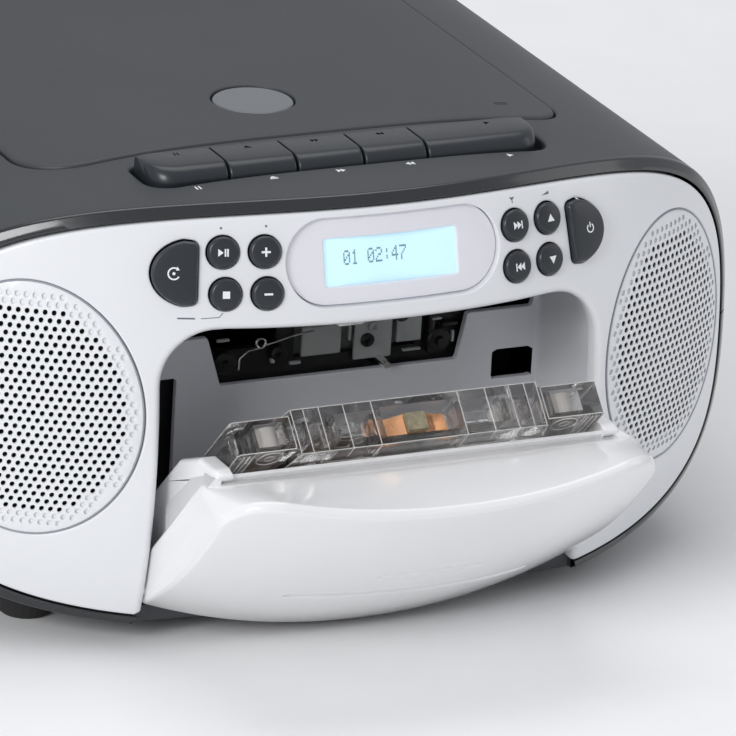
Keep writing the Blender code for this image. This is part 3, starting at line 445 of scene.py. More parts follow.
def grille_outline(side, grow, count=96):
    angle = np.linspace(0, 2 * math.pi, count, endpoint=False)
    z = GRILLE_Z + (GRILLE_HALF_Z + grow) * np.sin(angle)
    x = arc_to_x(GRILLE_ARC + (GRILLE_HALF_ARC + grow) * np.cos(angle), z)
    return list(zip(side * x, z))


def distance_to(points, outline):
    """Signed distance from each point to a closed outline, positive outside it."""
    p = np.asarray(points, float)
    poly = np.asarray(outline, float)
    best = np.full(len(p), 1e9)
    inside = np.zeros(len(p), bool)
    for a, b in zip(poly, np.roll(poly, -1, axis=0)):
        edge = b - a
        w = p - a
        t = np.clip((w @ edge) / max(edge @ edge, 1e-12), 0, 1)
        d = w - t[:, None] * edge
        best = np.minimum(best, (d * d).sum(1))
        if a[1] != b[1]:
            crosses = (a[1] > p[:, 1]) != (b[1] > p[:, 1])
            at = a[0] + (p[:, 1] - a[1]) * edge[0] / edge[1]
            inside ^= crosses & (p[:, 0] < at)
    best = np.sqrt(best)
    return np.where(inside, -best, best)


# ---- mesh makers ----

def piece(name, shape, mat, body="case", stands_for=None, smooth=True, sharp=0.6, turn=None):
    """A mesh piece from points in the maker's frame and faces. turn is a matrix in the row frame."""
    points, faces = shape
    pts = (np.asarray(points, float) + np.array((0, DEPTH_SHIFT, 0))) / 1000.0
    mesh = bpy.data.meshes.new(name)
    mesh.from_pydata([tuple(p) for p in pts], [], [tuple(int(i) for i in f) for f in faces])
    mesh.validate()
    if turn is not None:
        mesh.transform(turn)
    mesh.materials.append(mats[mat])
    bm = bmesh.new()
    bm.from_mesh(mesh)
    bmesh.ops.remove_doubles(bm, verts=bm.verts, dist=2e-7)
    bmesh.ops.recalc_face_normals(bm, faces=bm.faces)
    for f in bm.faces:
        f.smooth = smooth
    for e in bm.edges:
        e.smooth = len(e.link_faces) == 2 and e.calc_face_angle(0.0) < sharp
    bm.to_mesh(mesh)
    bm.free()
    thing = bpy.data.objects.new(name, mesh)
    bpy.context.scene.collection.objects.link(thing)
    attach(thing, body)
    if stands_for:
        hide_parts(stands_for)


def join(parts):
    """One list of points and faces from several."""
    points, faces, base = [], [], 0
    for some, shape in parts:
        points.extend(some)
        faces.extend(tuple(i + base for i in f) for f in shape)
        base += len(some)
    return points, faces


def loft_mesh(loops, close=False, caps=True):
    """Points and faces through loops with equal counts."""
    count = len(loops[0])
    points = [tuple(p) for loop in loops for p in loop]
    faces = []
    rows = len(loops)
    for j in range(rows if close else rows - 1):
        a, b = j * count, ((j + 1) % rows) * count
        for i in range(count):
            k = (i + 1) % count
            faces.append((a + i, a + k, b + k, b + i))
    if caps and not close:
        faces.append(tuple(range(count - 1, -1, -1)))
        faces.append(tuple(range((rows - 1) * count, rows * count)))
    return points, faces


def turned_mesh(start, end, profile, count=48):
    """Turned piece on a line. profile holds (distance from start, radius)."""
    a, b = Vector(start), Vector(end)
    axis = (b - a).normalized()
    side = axis.orthogonal().normalized()
    other = axis.cross(side)
    return loft_mesh([ring_round(a + axis * along, side, other, radius, count) for along, radius in profile])


def ring_round(here, side, other, radius, count):
    return [tuple(here + (side * math.cos(t) + other * math.sin(t)) * radius)
            for t in (2 * math.pi * i / count for i in range(count))]


def plate_mesh(outline, plane, low, high, round_edge=0.0, steps=4):
    """A flat plate from an outline in a plane, its upper edge rounded."""
    flat = np.asarray(outline, float)
    way = unit(unit(np.roll(flat, -1, axis=0) - flat) + unit(flat - np.roll(flat, 1, axis=0)))
    area = 0.5 * (flat[:, 0] * np.roll(flat[:, 1], -1) - np.roll(flat[:, 0], -1) * flat[:, 1]).sum()
    inward = np.stack([-way[:, 1], way[:, 0]], 1) * (1 if area > 0 else -1)
    levels = [(low, 0.0)]
    if round_edge > 0:
        levels += [(high - round_edge * (1 - s), round_edge * c) for s, c in quarter(steps)]
    else:
        levels.append((high, 0.0))
    return loft_mesh([on_plane(flat + inward * pull, plane, level) for level, pull in levels])


def tube_mesh(path, radius, count=10, close=False):
    """Round wire along a path."""
    pts = [Vector(p) for p in path]
    n = len(pts)
    loops = []
    for i, here in enumerate(pts):
        before = pts[i - 1] if (close or i > 0) else here
        after = pts[(i + 1) % n] if (close or i < n - 1) else here
        way = (after - before).normalized()
        side = way.cross(Vector((0.13, 1.0, 0.07))).normalized()
        loops.append(ring_round(here, side, way.cross(side), radius, count))
    return loft_mesh(loops, close=close)


def trimmed_sheet(grid, features, lift, wall, steps=4):
    """A sheet on a grid of flat points, trimmed by features, with a rounded edge and a wall down each one.

    grid is (rows, cols, 2). Each feature is (function giving the distance into the material, edge radius).
    lift(flat, rows) turns flat points into points of the surface. rows are the grid places they started from.
    Returns points and faces."""
    rows, cols = grid.shape[:2]
    flat = grid.reshape(-1, 2).astype(float).copy()
    index = np.arange(rows * cols).reshape(rows, cols)

    def depth_in(p):
        found = np.stack([f(p) - r for f, r in features])
        which = found.argmin(0)
        return found.min(0), which

    def slope(p, e=0.02):
        gx = (depth_in(p + (e, 0))[0] - depth_in(p - (e, 0))[0]) / (2 * e)
        gy = (depth_in(p + (0, e))[0] - depth_in(p - (0, e))[0]) / (2 * e)
        return np.stack([gx, gy], 1)

    s, _ = depth_in(flat)
    quads = np.stack([index[:-1, :-1], index[:-1, 1:], index[1:, 1:], index[1:, :-1]], -1).reshape(-1, 4)
    kept = quads[(s[quads] > 0).any(1)]
    used = np.unique(kept)
    outside = used[s[used] <= 0]
    moved = flat[outside]
    for _ in range(4):
        value, _ = depth_in(moved)
        g = slope(moved)
        moved = moved - g * (value / np.maximum((g * g).sum(1), 1e-6))[:, None]
    flat[outside] = moved
    solid = [tuple(q) for q in kept]
    directed = dict.fromkeys((a, b) for q in solid for a, b in zip(q, q[1:] + q[:1]))
    rim = [(a, b) for a, b in directed if (b, a) not in directed and s[a] <= 0 and s[b] <= 0]
    ends = sorted({v for e in rim for v in e})
    place_of = {v: i for i, v in enumerate(ends)}
    ends = np.array(ends, int)
    points = lift(flat, np.arange(len(flat)))
    base = points[ends]
    g = unit(-slope(flat[ends]), 1e-6)
    _, which = depth_in(flat[ends])
    radius = np.array([r for _, r in features])[which]
    step = 0.2
    ahead = unit(lift(flat[ends] + g * step, ends) - base)
    side = np.stack([-g[:, 1], g[:, 0]], 1)
    across = lift(flat[ends] + side * step, ends) - base
    normal = unit(np.cross(ahead, across))
    inward = normal * np.sign((normal * wall(base)).sum(1))[:, None]
    layers = [base + ahead * (radius * s)[:, None] + inward * (radius * c)[:, None] for s,
              c in quarter(steps)[1:]]
    layers.append(layers[-1] + wall(base))
    total = len(points)
    faces = list(solid)
    below = {v: int(v) for v in place_of}
    for layer in layers:
        above = {v: total + i for v, i in place_of.items()}
        for a, b in rim:
            faces.append((below[b], below[a], above[a], above[b]))
        below = above
        total += len(layer)
    points = np.vstack([points] + layers)
    used = np.zeros(len(points), bool)
    for f in faces:
        used[list(f)] = True
    renumber = np.cumsum(used) - 1
    return points[used], [tuple(int(renumber[i]) for i in f) for f in faces]


def keep_out(outline):
    """A feature's distance function for a hole: positive away from it."""
    return lambda p: distance_to(p, outline)


def keep_in(outline):
    return lambda p: -distance_to(p, outline)


def push(*way):
    """A trimmed sheet's wall that runs the same way all round."""
    return lambda p: np.tile(way, (len(p), 1))


def on_front(behind=0.0):
    """Lift from x and z to the front surface, or so far behind it."""
    return lambda flat, _: np.stack([flat[:, 0], front_y(flat[:, 0], flat[:, 1]) + behind, flat[:, 1]], 1)


def on_wall(depth):
    """Lift from x and z to an upright plane."""
    return lambda flat, _: np.stack([flat[:, 0], np.full(len(flat), depth), flat[:, 1]], 1)


def on_top(above):
    """Lift from x and y to so far above the cabinet's top."""
    return lambda flat, _: np.stack([flat[:, 0], flat[:, 1], top_z(flat[:, 0]) + above], 1)


# ---- casing ----

def grid_of(xs, ys):
    return np.stack(np.meshgrid(xs, ys), -1)


def make_fascia():
    """White front moulding with every opening's edge rounded."""
    x, z = case_outline(0.0, 241)
    bay = rounded_rect(-BAY_HALF, BAY_HALF, -20, BAY_TOP, (0, 0, BAY_RADIUS, BAY_RADIUS), 12)
    features = [(keep_in(list(zip(x[:-1], z[:-1]))), 0.9), (keep_out(bay), 1.5)]
    features += [(keep_out(grille_outline(s, GAP)), 0.5) for s in (-1, 1)]
    holes = [[(u, DISPLAY_Z + v) for u, v in lens_outline(0.28)]]
    holes += [on_front_outline(x, DISPLAY_Z + h, circle(0, 0, BUTTON_R + GAP, 36)) for _, x, h in ROUND_BUTTONS]
    holes += [on_front_outline(x, DISPLAY_Z + SIDE_DROP, d_outline(side, GAP)) for _, x, side in SIDE_BUTTONS]
    features += [(keep_out(hole), 0.3) for hole in holes]
    step = 0.62
    grid = grid_of(np.arange(-114.0, 114.01, step), np.arange(6.0, 116.01, step))
    sheet = trimmed_sheet(grid, features, on_front(), push(0, 3.4, 0))
    piece("fascia_moulding", sheet, "white", stands_for="fascia", sharp=1.2)
    bead = [(x, float(front_y(x, z)) + 1.85, z) for x, z in bay if z > 9.0]
    piece("bay_edge_bead", tube_mesh(bead, 0.5, 8), "white")


def shell_grid(upper, count, rows):
    """Flat (x, y) grid over the cabinet's upper or lower half, and x and z along its outline."""
    x, z = case_outline(WALL, count, math.pi, 0.0 if upper else 2 * math.pi)
    z = np.maximum(z, MIDDLE_Z + 0.2) if upper else np.minimum(z, MIDDLE_Z - 0.2)
    start = front_y(x, z) + SKIN_START
    share = np.linspace(0, 1, rows)
    y = start[None, :] + (ROUND_Y - start[None, :]) * share[:, None]
    return np.stack([np.tile(x, (rows, 1)), y], -1), x, z


def make_shell(name, node, upper):
    """Half of the cabinet: the skin with its openings, and the strips that turn in at the front and back."""
    count, rows = ((321, 150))
    grid, x, z = shell_grid(upper, count, rows)
    heights = np.tile(z, (rows, 1)).reshape(-1)
    if upper:
        lid = rounded_rect(LID_X[0] - GAP, LID_X[1] + GAP, LID_Y[0] - GAP, LID_Y[1] + GAP, LID_CORNERS, 12)
        keys = rounded_rect(-55.2, 55.2, KEY_FRONT - 2.2, KEY_BACK + 0.9, (7, 7, 3, 3), 10)
        features = [(keep_out(lid), 0.7), (keep_out(keys), 0.9)]
    else:
        features = [(keep_out(box(-BAY_HALF - 0.8, BAY_HALF + 0.8, -80, 14.5)), 0.4)]
        features += [(keep_out(circle(fx, fy, 7.95, 40)), 0.5) for fx, fy in FEET]
    start = grid.reshape(-1, 2).copy()

    def lift(flat, rows_used):
        zz = heights[rows_used].copy()
        moved = np.abs(flat[:, 0] - start[rows_used, 0]) > 1e-9
        own = top_z(flat[:, 0]) if upper else bottom_z(flat[:, 0])
        zz[moved] = own[moved]
        return np.stack([flat[:, 0], flat[:, 1], zz], 1)

    skin = trimmed_sheet(grid, features, lift, push(0, 0, -5.0 if upper else 4.0))
    kept = (np.abs(x) > BAY_HALF + 1.2) | upper
    chunks = np.split(np.arange(count), np.where(np.diff(kept.astype(int)) != 0)[0] + 1)
    edges = [rim_strip(x[chunk], z[chunk], upper, front=True)
             for chunk in chunks if kept[chunk[0]] and len(chunk) > 1]
    # The front strips are coloured darker than the skin: painted shade.
    piece(f"{name}_edge", join(edges), "rim", sharp=0.9)
    skin = join([skin, rim_strip(x, z, upper, front=False)])
    piece(name, skin, "grey", stands_for=node, sharp=0.9)


def rim_strip(x, z, upper, front):
    """Strip that turns from the skin in to the fascia, or from the skin round to the back."""
    angle_x = x / (FASCIA_HALF + WALL)
    power = POWER_TOP if upper else POWER_BOTTOM
    rise = FASCIA_TOP - MIDDLE_Z if upper else MIDDLE_Z - FASCIA_BOTTOM
    up = 1.0 if upper else -1.0
    unit_z = (1.0 - np.minimum(np.abs(angle_x), 1.0) ** power) ** (1.0 / power)

    def ring(offset, depth):
        xx = (FASCIA_HALF + offset) * angle_x
        zz = MIDDLE_Z + up * np.maximum((rise + offset) * unit_z, 0.2)
        return np.stack([xx, depth(xx, zz), zz], 1)

    def before(behind):
        return lambda a, b: front_y(a, b) + behind

    if front:
        rings = [ring(WALL, lambda a, b: front_y(x, z) + SKIN_START)]
        rings += [ring(WALL - 0.5 * (1 - math.cos(t)), before(SKIN_START - math.sin(t)))
                  for t in (0.35, 0.7, 1.05, 1.4, 1.57)]
        turn_in = ((1.6, 0.35), (0.45, 0.05), (0.28, 0.2), (0.25, 3.0))
        rings += [ring(offset, before(behind)) for offset, behind in turn_in]
    else:
        rings = [ring(WALL - BACK_ROUND * c, lambda a, b, s=s: ROUND_Y + (BACK_Y - ROUND_Y) * s + 0 * a)
                 for s, c in quarter(12)]
    count = len(x)
    faces = [(a, a + 1, a + count + 1, a + count)
             for j in range(len(rings) - 1) for a in range(j * count, (j + 1) * count - 1)]
    return [tuple(p) for r in rings for p in r], faces


def make_back():
    """Flat back, with the openings for the battery door and the inlet, rows of slots and a blank plate."""
    x, z = case_outline(WALL - BACK_ROUND, 181)
    features = [(keep_in(list(zip(x[:-1], z[:-1]))), 0.02),
                (keep_out(rounded_rect(*BATTERY_HOLE, 1.0, 3)), 0.3),
                (keep_out(rounded_rect(*INLET_HOLE, 3.0, 5)), 0.3)]
    features += [(keep_out(rounded_rect(-24 + 6 * i, -21.4 + 6 * i, 64, 78, 1.3, 4)), 0.25) for i in range(9)]
    features += [(keep_out(circle(x, z, 2.6, 20)), 0.3) for x, z in BACK_SCREWS]
    step = 1.1
    grid = grid_of(np.arange(-112, 112.1, step), np.arange(8, 114.1, step))
    panel = trimmed_sheet(grid, features, on_wall(BACK_Y), push(0, -3.0, 0), 3)
    piece("back_panel", panel, "grey", sharp=1.0)
    screws = [screw_mesh((x, BACK_Y - 2.8, z), TO_BACK, 2.2) for x, z in BACK_SCREWS]
    piece("back_screws", join(screws), "bright")
    plane = (45, BACK_Y - 0.02, 88), (-1, 0, 0), TO_TOP, TO_BACK
    blank = plate_mesh(rounded_rect(-20, 20, -8, 8, 1.2, 4), plane, 0.0, 0.18, 0.1, 2)
    piece("rating_plate_blank", blank, "steel")


def screw_mesh(at, way, radius):
    """Cross-head screw facing the way given."""
    out = Vector(way).normalized()
    along = out.orthogonal().normalized()
    plane = at, along, out.cross(along), out
    inner = cross(radius * 0.55, radius * 0.13)
    angles = [math.atan2(v, u) for u, v in inner]
    outer = [(radius * math.cos(a), radius * math.sin(a)) for a in angles]
    levels = ((outer, 0.0, 1.0), (outer, 0.35, 0.97), (outer, 0.5, 0.80), (inner, 0.56, 1.0),
              (inner, 0.15, 0.8))
    return loft_mesh([on_plane([(u * scale, v * scale) for u, v in flat], plane, level * radius)
                      for flat, level, scale in levels])


def make_grilles():
    """Perforated sheet: open holes in the middle, blind ones in the outer rows, and a plain rim."""
    for side, word in ((-1, "left"), (1, "right")):
        points, faces = [], []
        rows = int(GRILLE_HALF_Z / (HOLE_PITCH * 0.866)) + 2
        cols = int(GRILLE_HALF_ARC / HOLE_PITCH) + 2
        for j in range(-rows, rows + 1):
            for i in range(-cols, cols + 1):
                cu, cv = HOLE_PITCH * (i + 0.5 * (j % 2)), HOLE_PITCH * 0.866 * j
                reach = math.hypot(cu / GRILLE_HALF_ARC, cv / GRILLE_HALF_Z)
                if reach <= 1.06:
                    add_hole_cell(points, faces, cu, cv, (1.0 - reach) * min(GRILLE_HALF_ARC, GRILLE_HALF_Z))
        arc, z, deep = np.array(points, float).T
        u, v = (arc - GRILLE_ARC) / GRILLE_HALF_ARC, (z - GRILLE_Z) / GRILLE_HALF_Z
        reach = np.hypot(u, v)
        pull = np.where(reach > 1.0, 1.0 / np.maximum(reach, 1e-6), 1.0)
        u, v = u * pull, v * pull
        z = GRILLE_Z + GRILLE_HALF_Z * v
        x = arc_to_x(GRILLE_ARC + GRILLE_HALF_ARC * u, z)
        dome = 0.75 * np.sqrt(np.maximum(0.0, 1.0 - u * u - v * v))
        sheet = np.stack([side * x, front_y(x, z) + 0.35 - dome + deep, z], 1), faces
        piece(f"grille_sheet_{word}", sheet, "grille", stands_for=f"grille_{word}", sharp=0.75)
        rim = grille_outline(side, 0.0)
        edge = [(px, float(front_y(px, pz)) + 0.45, pz) for px, pz in rim]
        piece(f"grille_rim_{word}", tube_mesh(edge, 0.3, 8, close=True), "seam")
        # Near-black sheet just behind the holes: painted shade.
        shade_loops = []
        for s in (1.0, 0.75, 0.5, 0.25, 0.05):
            line = [(px * s + (1 - s) * side * 87.0, pz * s + (1 - s) * GRILLE_Z) for px, pz in rim]
            shade_loops.append([(px, float(front_y(px, pz)) + 1.9, pz) for px, pz in line])
        piece(f"grille_painted_shade_{word}", loft_mesh(shade_loops, caps=False), "shadow")


def add_hole_cell(points, faces, cu, cv, margin):
    """One six-sided cell of the sheet. margin is how far it lies inside the sheet's edge."""
    base = len(points)
    big = HOLE_PITCH / math.sqrt(3.0)
    count = 12

    def add(radii, deep):
        for k, r in enumerate(radii):
            a = math.radians(30 + 30 * k)
            points.append((GRILLE_ARC + cu + r * math.cos(a), GRILLE_Z + cv + r * math.sin(a), deep))

    add([big, big * math.cos(math.radians(30))] * 6, 0.0)
    if margin < 1.5:
        faces.append(tuple(range(base, base + count)))
        return
    blind = margin < 4.6
    levels = [(HOLE_R + 0.12, 0.0), (HOLE_R, 0.1)]
    levels += [(HOLE_R, 0.62), (HOLE_R * 0.4, 0.64)] if blind else [(HOLE_R, 0.75)]
    for r, deep in levels:
        add([r] * count, deep)
        faces += [(base + k, base + (k + 1) % count, base + count + (k + 1) % count, base + count + k)
                  for k in range(count)]
        base += count
    if blind:
        faces.append(tuple(range(base, base + count)))


# ---- controls ----

def icon_shapes(name):
    """Outlines of a sign, about three millimetres across."""
    def bar(x, w=0.42, h=1.05):
        return box(x - w / 2, x + w / 2, -h, h)

    def arrow(x, w=1.25, h=1.05):
        return [(x - w / 2, -h), (x + w / 2, 0.0), (x - w / 2, h)]

    def flip(shapes):
        return [[(-u, v) for u, v in reversed(s)] for s in shapes]

    def bow(outer, inner, start, end):
        return arc_points(0, 0, outer, start, end, 22) + arc_points(0, 0, inner, end, start, 22)

    signs = {
        "play_pause": [arrow(-0.75, 1.4, 1.0), bar(0.45, h=1.0), bar(1.1, h=1.0)],
        "plus": [cross(1.2, 0.27)],
        "minus": [box(-1.15, 1.15, -0.27, 0.27)],
        "stop": [box(-0.95, 0.95, -0.95, 0.95)],
        "next": [arrow(-0.75), arrow(0.4), bar(1.25, 0.32)],
        "up": [[(-1.15, -0.9), (1.15, -0.9), (0.0, 1.1)]],
        "down": [[(-1.15, 0.9), (0.0, -1.1), (1.15, 0.9)]],
        "pause": [bar(-0.5), bar(0.5)],
        "play": [arrow(0.0, 1.7, 1.05)],
        "forward": [arrow(-0.6), arrow(0.6)],
        "eject": [[(-1.15, -0.15), (1.15, -0.15), (0.0, 1.15)], box(-1.15, 1.15, -0.85, -0.45)],
        "dot": [circle(0, 0, 0.35, 14)],
        "ramp": [[(-1.6, -0.5), (1.6, -0.5), (1.6, 0.6)]],
        "mast": [box(-0.13, 0.13, -0.8, 0.1), [(-0.85, 0.75), (0.0, -0.15), (0.85, 0.75)]],
        "power": [bow(1.35, 0.98, 125, 415), box(-0.18, 0.18, 0.2, 1.7)],
        "mode": [bow(1.75, 1.35, 60, 330), [(0.55, 0.85), (1.55, 0.95), (0.85, 1.95)], circle(0, 0, 0.42, 14)],
    }
    signs["previous"] = flip(signs["next"])
    signs["rewind"] = flip(signs["forward"])
    return signs[name]


def sign_mesh(name, plane, size=1.0, low=-0.05, high=0.05, move=(0.0, 0.0)):
    return join([plate_mesh([(u * size + move[0], v * size + move[1]) for u, v in shape], plane, low, high)
                 for shape in icon_shapes(name)])


def cap_mesh(outline, x, z, proud, edge, dome):
    """Button cap with a rolled edge and a slightly crowned face, and the plane at its top."""
    plane = front_frame(x, z)
    flat = np.asarray(outline, float)
    centre = flat.mean(0)
    reach = np.linalg.norm(flat - centre, axis=1).max()
    levels = [(-5.5, 1.0)]
    levels += [(proud - edge * (1 - s), 1.0 - edge * c / reach) for s, c in quarter(8)]
    levels += [(proud + dome * (1 - s * s), s * (1.0 - edge / reach)) for s in (0.75, 0.5, 0.25, 0.06)]
    loops = [on_plane(centre + (flat - centre) * scale, plane, level) for level, scale in levels]
    return loft_mesh(loops), (plane[0] + plane[3] * (proud + dome), *plane[1:])


def make_buttons():
    side_z = DISPLAY_Z + SIDE_DROP
    buttons = [(name, circle(0, 0, BUTTON_R, 56), x, DISPLAY_Z + h, (1.28, 1.0, 0.18), (0.95, -0.05, 0.05))
               for name, x, h in ROUND_BUTTONS]
    buttons += [(name, d_outline(side), x, side_z, (1.6, 1.25, 0.2),
                 (0.92, -0.05, 0.02, (side * 0.6, 0.2
                                      if name == "power" else 0.0))) for name, x, side in SIDE_BUTTONS]
    for name, outline, x, z, form, sign in buttons:
        node = f"button_{name}"
        cap, plane = cap_mesh(outline, x, z, *form)
        piece(f"cap_{name}", cap, "dark", node, node)
        piece(f"sign_{name}", sign_mesh(name, plane, *sign), "ink_white", node)


def make_marks():
    """Small signs printed on the fascia and on the cabinet, in place of words."""
    marks = (("ramp", 44.3, 9.5, 0.75), ("mast", 33.9, 9.6, 0.95), ("dot", -44.4, 9.3, 0.9),
             ("dot", -33.4, 9.6, 0.9))
    parts = [sign_mesh(sign, front_frame(x, DISPLAY_Z + h), size, -0.05, 0.03) for sign, x, h, size in marks]
    line = [(x, DISPLAY_Z + h) for x, h in ((-50.5, -12.3), (-46.2, -12.0), (-45.2, -10.9))]
    parts.append(tube_mesh([(x, float(front_y(x, z)), z) for x, z in line], 0.11, 6))
    parts.append(plate_mesh(box(-2.2, 2.2, -0.2, 0.2), front_frame(-54.0, DISPLAY_Z - 12.3), -0.05, 0.03))
    piece("fascia_marks", join(parts), "ink_grey")
    signs = zip(KEYS, ("pause", "eject", "forward", "rewind", "play"), (-1, 0, 0, 1, 4))
    parts = [sign_mesh(sign, top_frame(0.5 * (x0 + x1) + shift, KEY_FRONT - 5.2), 0.95, -0.05, 0.04)
             for (_, x0, x1), sign, shift in signs]
    piece("key_marks", join(parts), "ink_white")


DIGITS = {
    "0": "01110 10001 10011 10101 11001 10001 01110", "1": "00100 01100 00100 00100 00100 00100 01110",
    "2": "01110 10001 00001 00110 01000 10000 11111", 
    "4": "00010 00110 01010 10010 11111 00010 00010", "7": "11111 00001 00010 00100 01000 01000 01000",
    ":": "00000 00100 00100 00000 00100 00100 00000",
    " ": "00000 00000 00000 00000 00000 00000 00000",
}


def make_display():
    """Window, surround, dot digits and lit panel."""
    grid = grid_of(np.linspace(-LENS_HALF - 0.5, LENS_HALF + 0.5, 70),
                   np.linspace(DISPLAY_Z - LENS_R - 0.5, DISPLAY_Z + LENS_R + 0.5, 34))
    outline = keep_in([(u, DISPLAY_Z + v) for u, v in lens_outline(0.0)])
    lens = trimmed_sheet(grid, [(outline, 0.9)], on_front(-0.25), push(0, 1.6, 0))
    piece("display_window", lens, "lens", stands_for="display_lens", sharp=1.2)
    window = keep_out(rounded_rect(-18.6, 17.6, DISPLAY_Z - 6.3, DISPLAY_Z + 5.3, 0.6, 4))
    surround = trimmed_sheet(grid, [(outline, 0.1), (window, 0.5)], on_front(1.75), push(0, 0.6, 0))
    piece("display_surround", surround, "bezel", sharp=1.2)
    here, along, up, out = front_frame(-0.5, DISPLAY_Z - 0.5)
    plane = here - out * 3.4, along, up, out
    across, rise = 0.365, 0.53
    x = -12.6
    parts = []
    for letter in "01 02:47":
        for j, row in enumerate(DIGITS[letter].split()):
            for i, dot in enumerate(row):
                if dot == "1":
                    u, v = x + across * i, 2.9 - rise * j
                    parts.append(plate_mesh(box(u, u + across * 0.86, v, v + rise * 0.86), plane, -0.1, 0.03))
        x += across * 6
    piece("display_digits", join(parts), "ink_teal", smooth=False)
    glass = plate_mesh(rounded_rect(-20.5, 20.5, -7.6, 7.6, 0.4, 3), (here, along, up, out), -4.4, -3.4, 0.1, 2)
    piece("display_glass", glass, "lcd", stands_for="display_panel")


# ---- top ----

def window_outline(grow, count=56):
    return oval(*WINDOW_AT, 10.6 + grow, 10.5 + grow, count)


def make_lid():
    """Disc lid with a rolled edge, its underside, its oval window and its sign."""
    plan = rounded_rect(*LID_X, *LID_Y, LID_CORNERS, 12)
    step = 1.2
    grid = grid_of(*(np.arange(low - 1.5, high + 1.6, step) for low, high in (LID_X, LID_Y)))
    features = [(keep_in(plan), 1.0), (keep_out(window_outline(0.35)), 0.5)]
    lid = trimmed_sheet(grid, features, on_top(0.45), push(0, 0, -2.6))
    piece("disc_lid", lid, "grey", "cd_lid", "cd_lid", sharp=1.2)

    def bearing(p):
        return math.atan2(p[1] - WINDOW_AT[1], p[0] - WINDOW_AT[0])

    hole = window_outline(0.6)
    edge = [min(plan, key=lambda q, a=a: abs(bearing(q) - bearing(a))) for a in hole]
    under = loft_mesh([[(x, y, float(top_z(x)) - 2.1) for x, y in line] for line in (hole, edge)], caps=False)
    piece("disc_lid_underside", under, "dark", "cd_lid", smooth=False)
    grid = grid_of(np.arange(-17.5, 6.6, 0.5), np.arange(65.5, 89.6, 0.5))
    window = trimmed_sheet(grid, [(keep_in(window_outline(0.0)), 0.7)], on_top(0.15), push(0, 0, -1.2))
    piece("disc_window", window, "smoke", "cd_lid", "lid_window", sharp=1.2)
    sign = sign_mesh("eject", top_frame(57.0, 62.0, 0.45), 1.5, -0.05, 0.12)
    piece("lid_sign", sign, "grey", "cd_lid")


def make_keys():
    """Bullnose keys with a sign raised on each."""
    nose = 4.2
    for key, x0, x1 in KEYS:
        node = f"key_{key}"
        loops = []
        for x, inset in end_stations(x0, x1, 6.6 if x0 < -50 else 0.7, 6.6 if x1 > 50 else 0.7):
            front = KEY_FRONT + inset
            side = [(KEY_BACK - 0.4, 108.0), (front + 0.6, 108.0)]
            side += [(front + nose * c, 115.4 + nose * s) for s, c in quarter(12)]
            side += [(KEY_BACK - 1.2, KEY_TOP), (KEY_BACK - 0.5, KEY_TOP - 0.25),
                     (KEY_BACK - 0.2, KEY_TOP - 0.9)]
            loops.append([(x, y, z - (inset * 0.10 if z > 112 else 0.0)) for y, z in side])
        piece(f"tape_key_{key}", loft_mesh(loops), "dark", node, node, sharp=0.8)
        plane = (0.5 * (x0 + x1) + (5 if key == "play" else 0), KEY_BACK - 3.6,
                 KEY_TOP), TO_SIDE, TO_BACK, TO_TOP
        sign = sign_mesh("eject" if key == "stop" else key, plane, 0.9, -0.1, 0.0)
        piece(f"key_sign_{key}", sign, "rim", node)


def end_stations(x0, x1, left_r, right_r):
    """Places along a key, with how far its front is set back there, so that its ends are rounded."""
    def inset(gap, radius):
        return radius - math.sqrt(max(0.0, radius ** 2 - (radius - gap) ** 2)) if gap < radius else 0.0

    places = [x0 + left_r * c for _, c in quarter(8)] + [x1 - right_r * c for _, c in quarter(8)]
    return [(x, min(6.4, max(inset(x - x0, left_r), inset(x1 - x, right_r)))) for x in sorted(set(places))]


# ---- door ----

def swing_open():
    pivot = place(0.0, HINGE_Y, HINGE_Z)
    return Matrix.Translation(pivot) @ Matrix.Rotation(DOOR_OPEN, 4, "X") @ Matrix.Translation(-pivot)


def line_distance(x, z, path):
    best = 1e9
    for (ax, az), (bx, bz) in zip(path, path[1:]):
        ex, ez = bx - ax, bz - az
        t = min(1.0, max(0.0, ((x - ax) * ex + (z - az) * ez) / (ex * ex + ez * ez)))
        best = min(best, math.hypot(x - ax - t * ex, z - az - t * ez))
    return best


GROOVE = [(-31 + 6.5 * i, 36.6 + 2.3 * math.sin(math.pi * (i / 10.0) ** 0.9) - 2.6 * (i / 10.0) ** 2)
          for i in range(11)]
OVAL = oval(1.5, 50.2, 14.0, 1.9, 40)
OVAL.append(OVAL[0])


def face_relief(x, z):
    """How deep the door's face is cut at a place: the finger groove and a plain oval."""
    deep = 0.0
    if 30 < z < 42 and abs(x) < 36:
        deep = 1.0 * math.exp(-(line_distance(x, z, GROOVE) / 1.05) ** 4)
    if 46.5 < z < 54 and -15 < x < 17:
        deep = max(deep, 0.22 * math.exp(-(line_distance(x, z, OVAL) / 0.26) ** 2))
    return deep


def fillet(corner, before, after, radius, steps):
    """Points round a corner between two neighbours."""
    c, a, b = (np.array(p, float) for p in (corner, before, after))
    u, v = a - c, b - c
    lu, lv = np.linalg.norm(u), np.linalg.norm(v)
    u, v = u / lu, v / lv
    half = 0.5 * math.acos(max(-1.0, min(1.0, float(u @ v))))
    run = min(radius / math.tan(half), 0.48 * lu, 0.48 * lv)
    r = run * math.tan(half)
    centre = c + (u + v) / np.linalg.norm(u + v) * (r / math.sin(half))
    start, stop = c + u * run - centre, c + v * run - centre
    a0, a1 = math.atan2(start[1], start[0]), math.atan2(stop[1], stop[0])
    while a1 - a0 > math.pi:
        a1 -= 2 * math.pi
    while a1 - a0 < -math.pi:
        a1 += 2 * math.pi
    return [tuple(centre + r * np.array((math.cos(t), math.sin(t)))) for t in np.linspace(a0, a1, steps)]


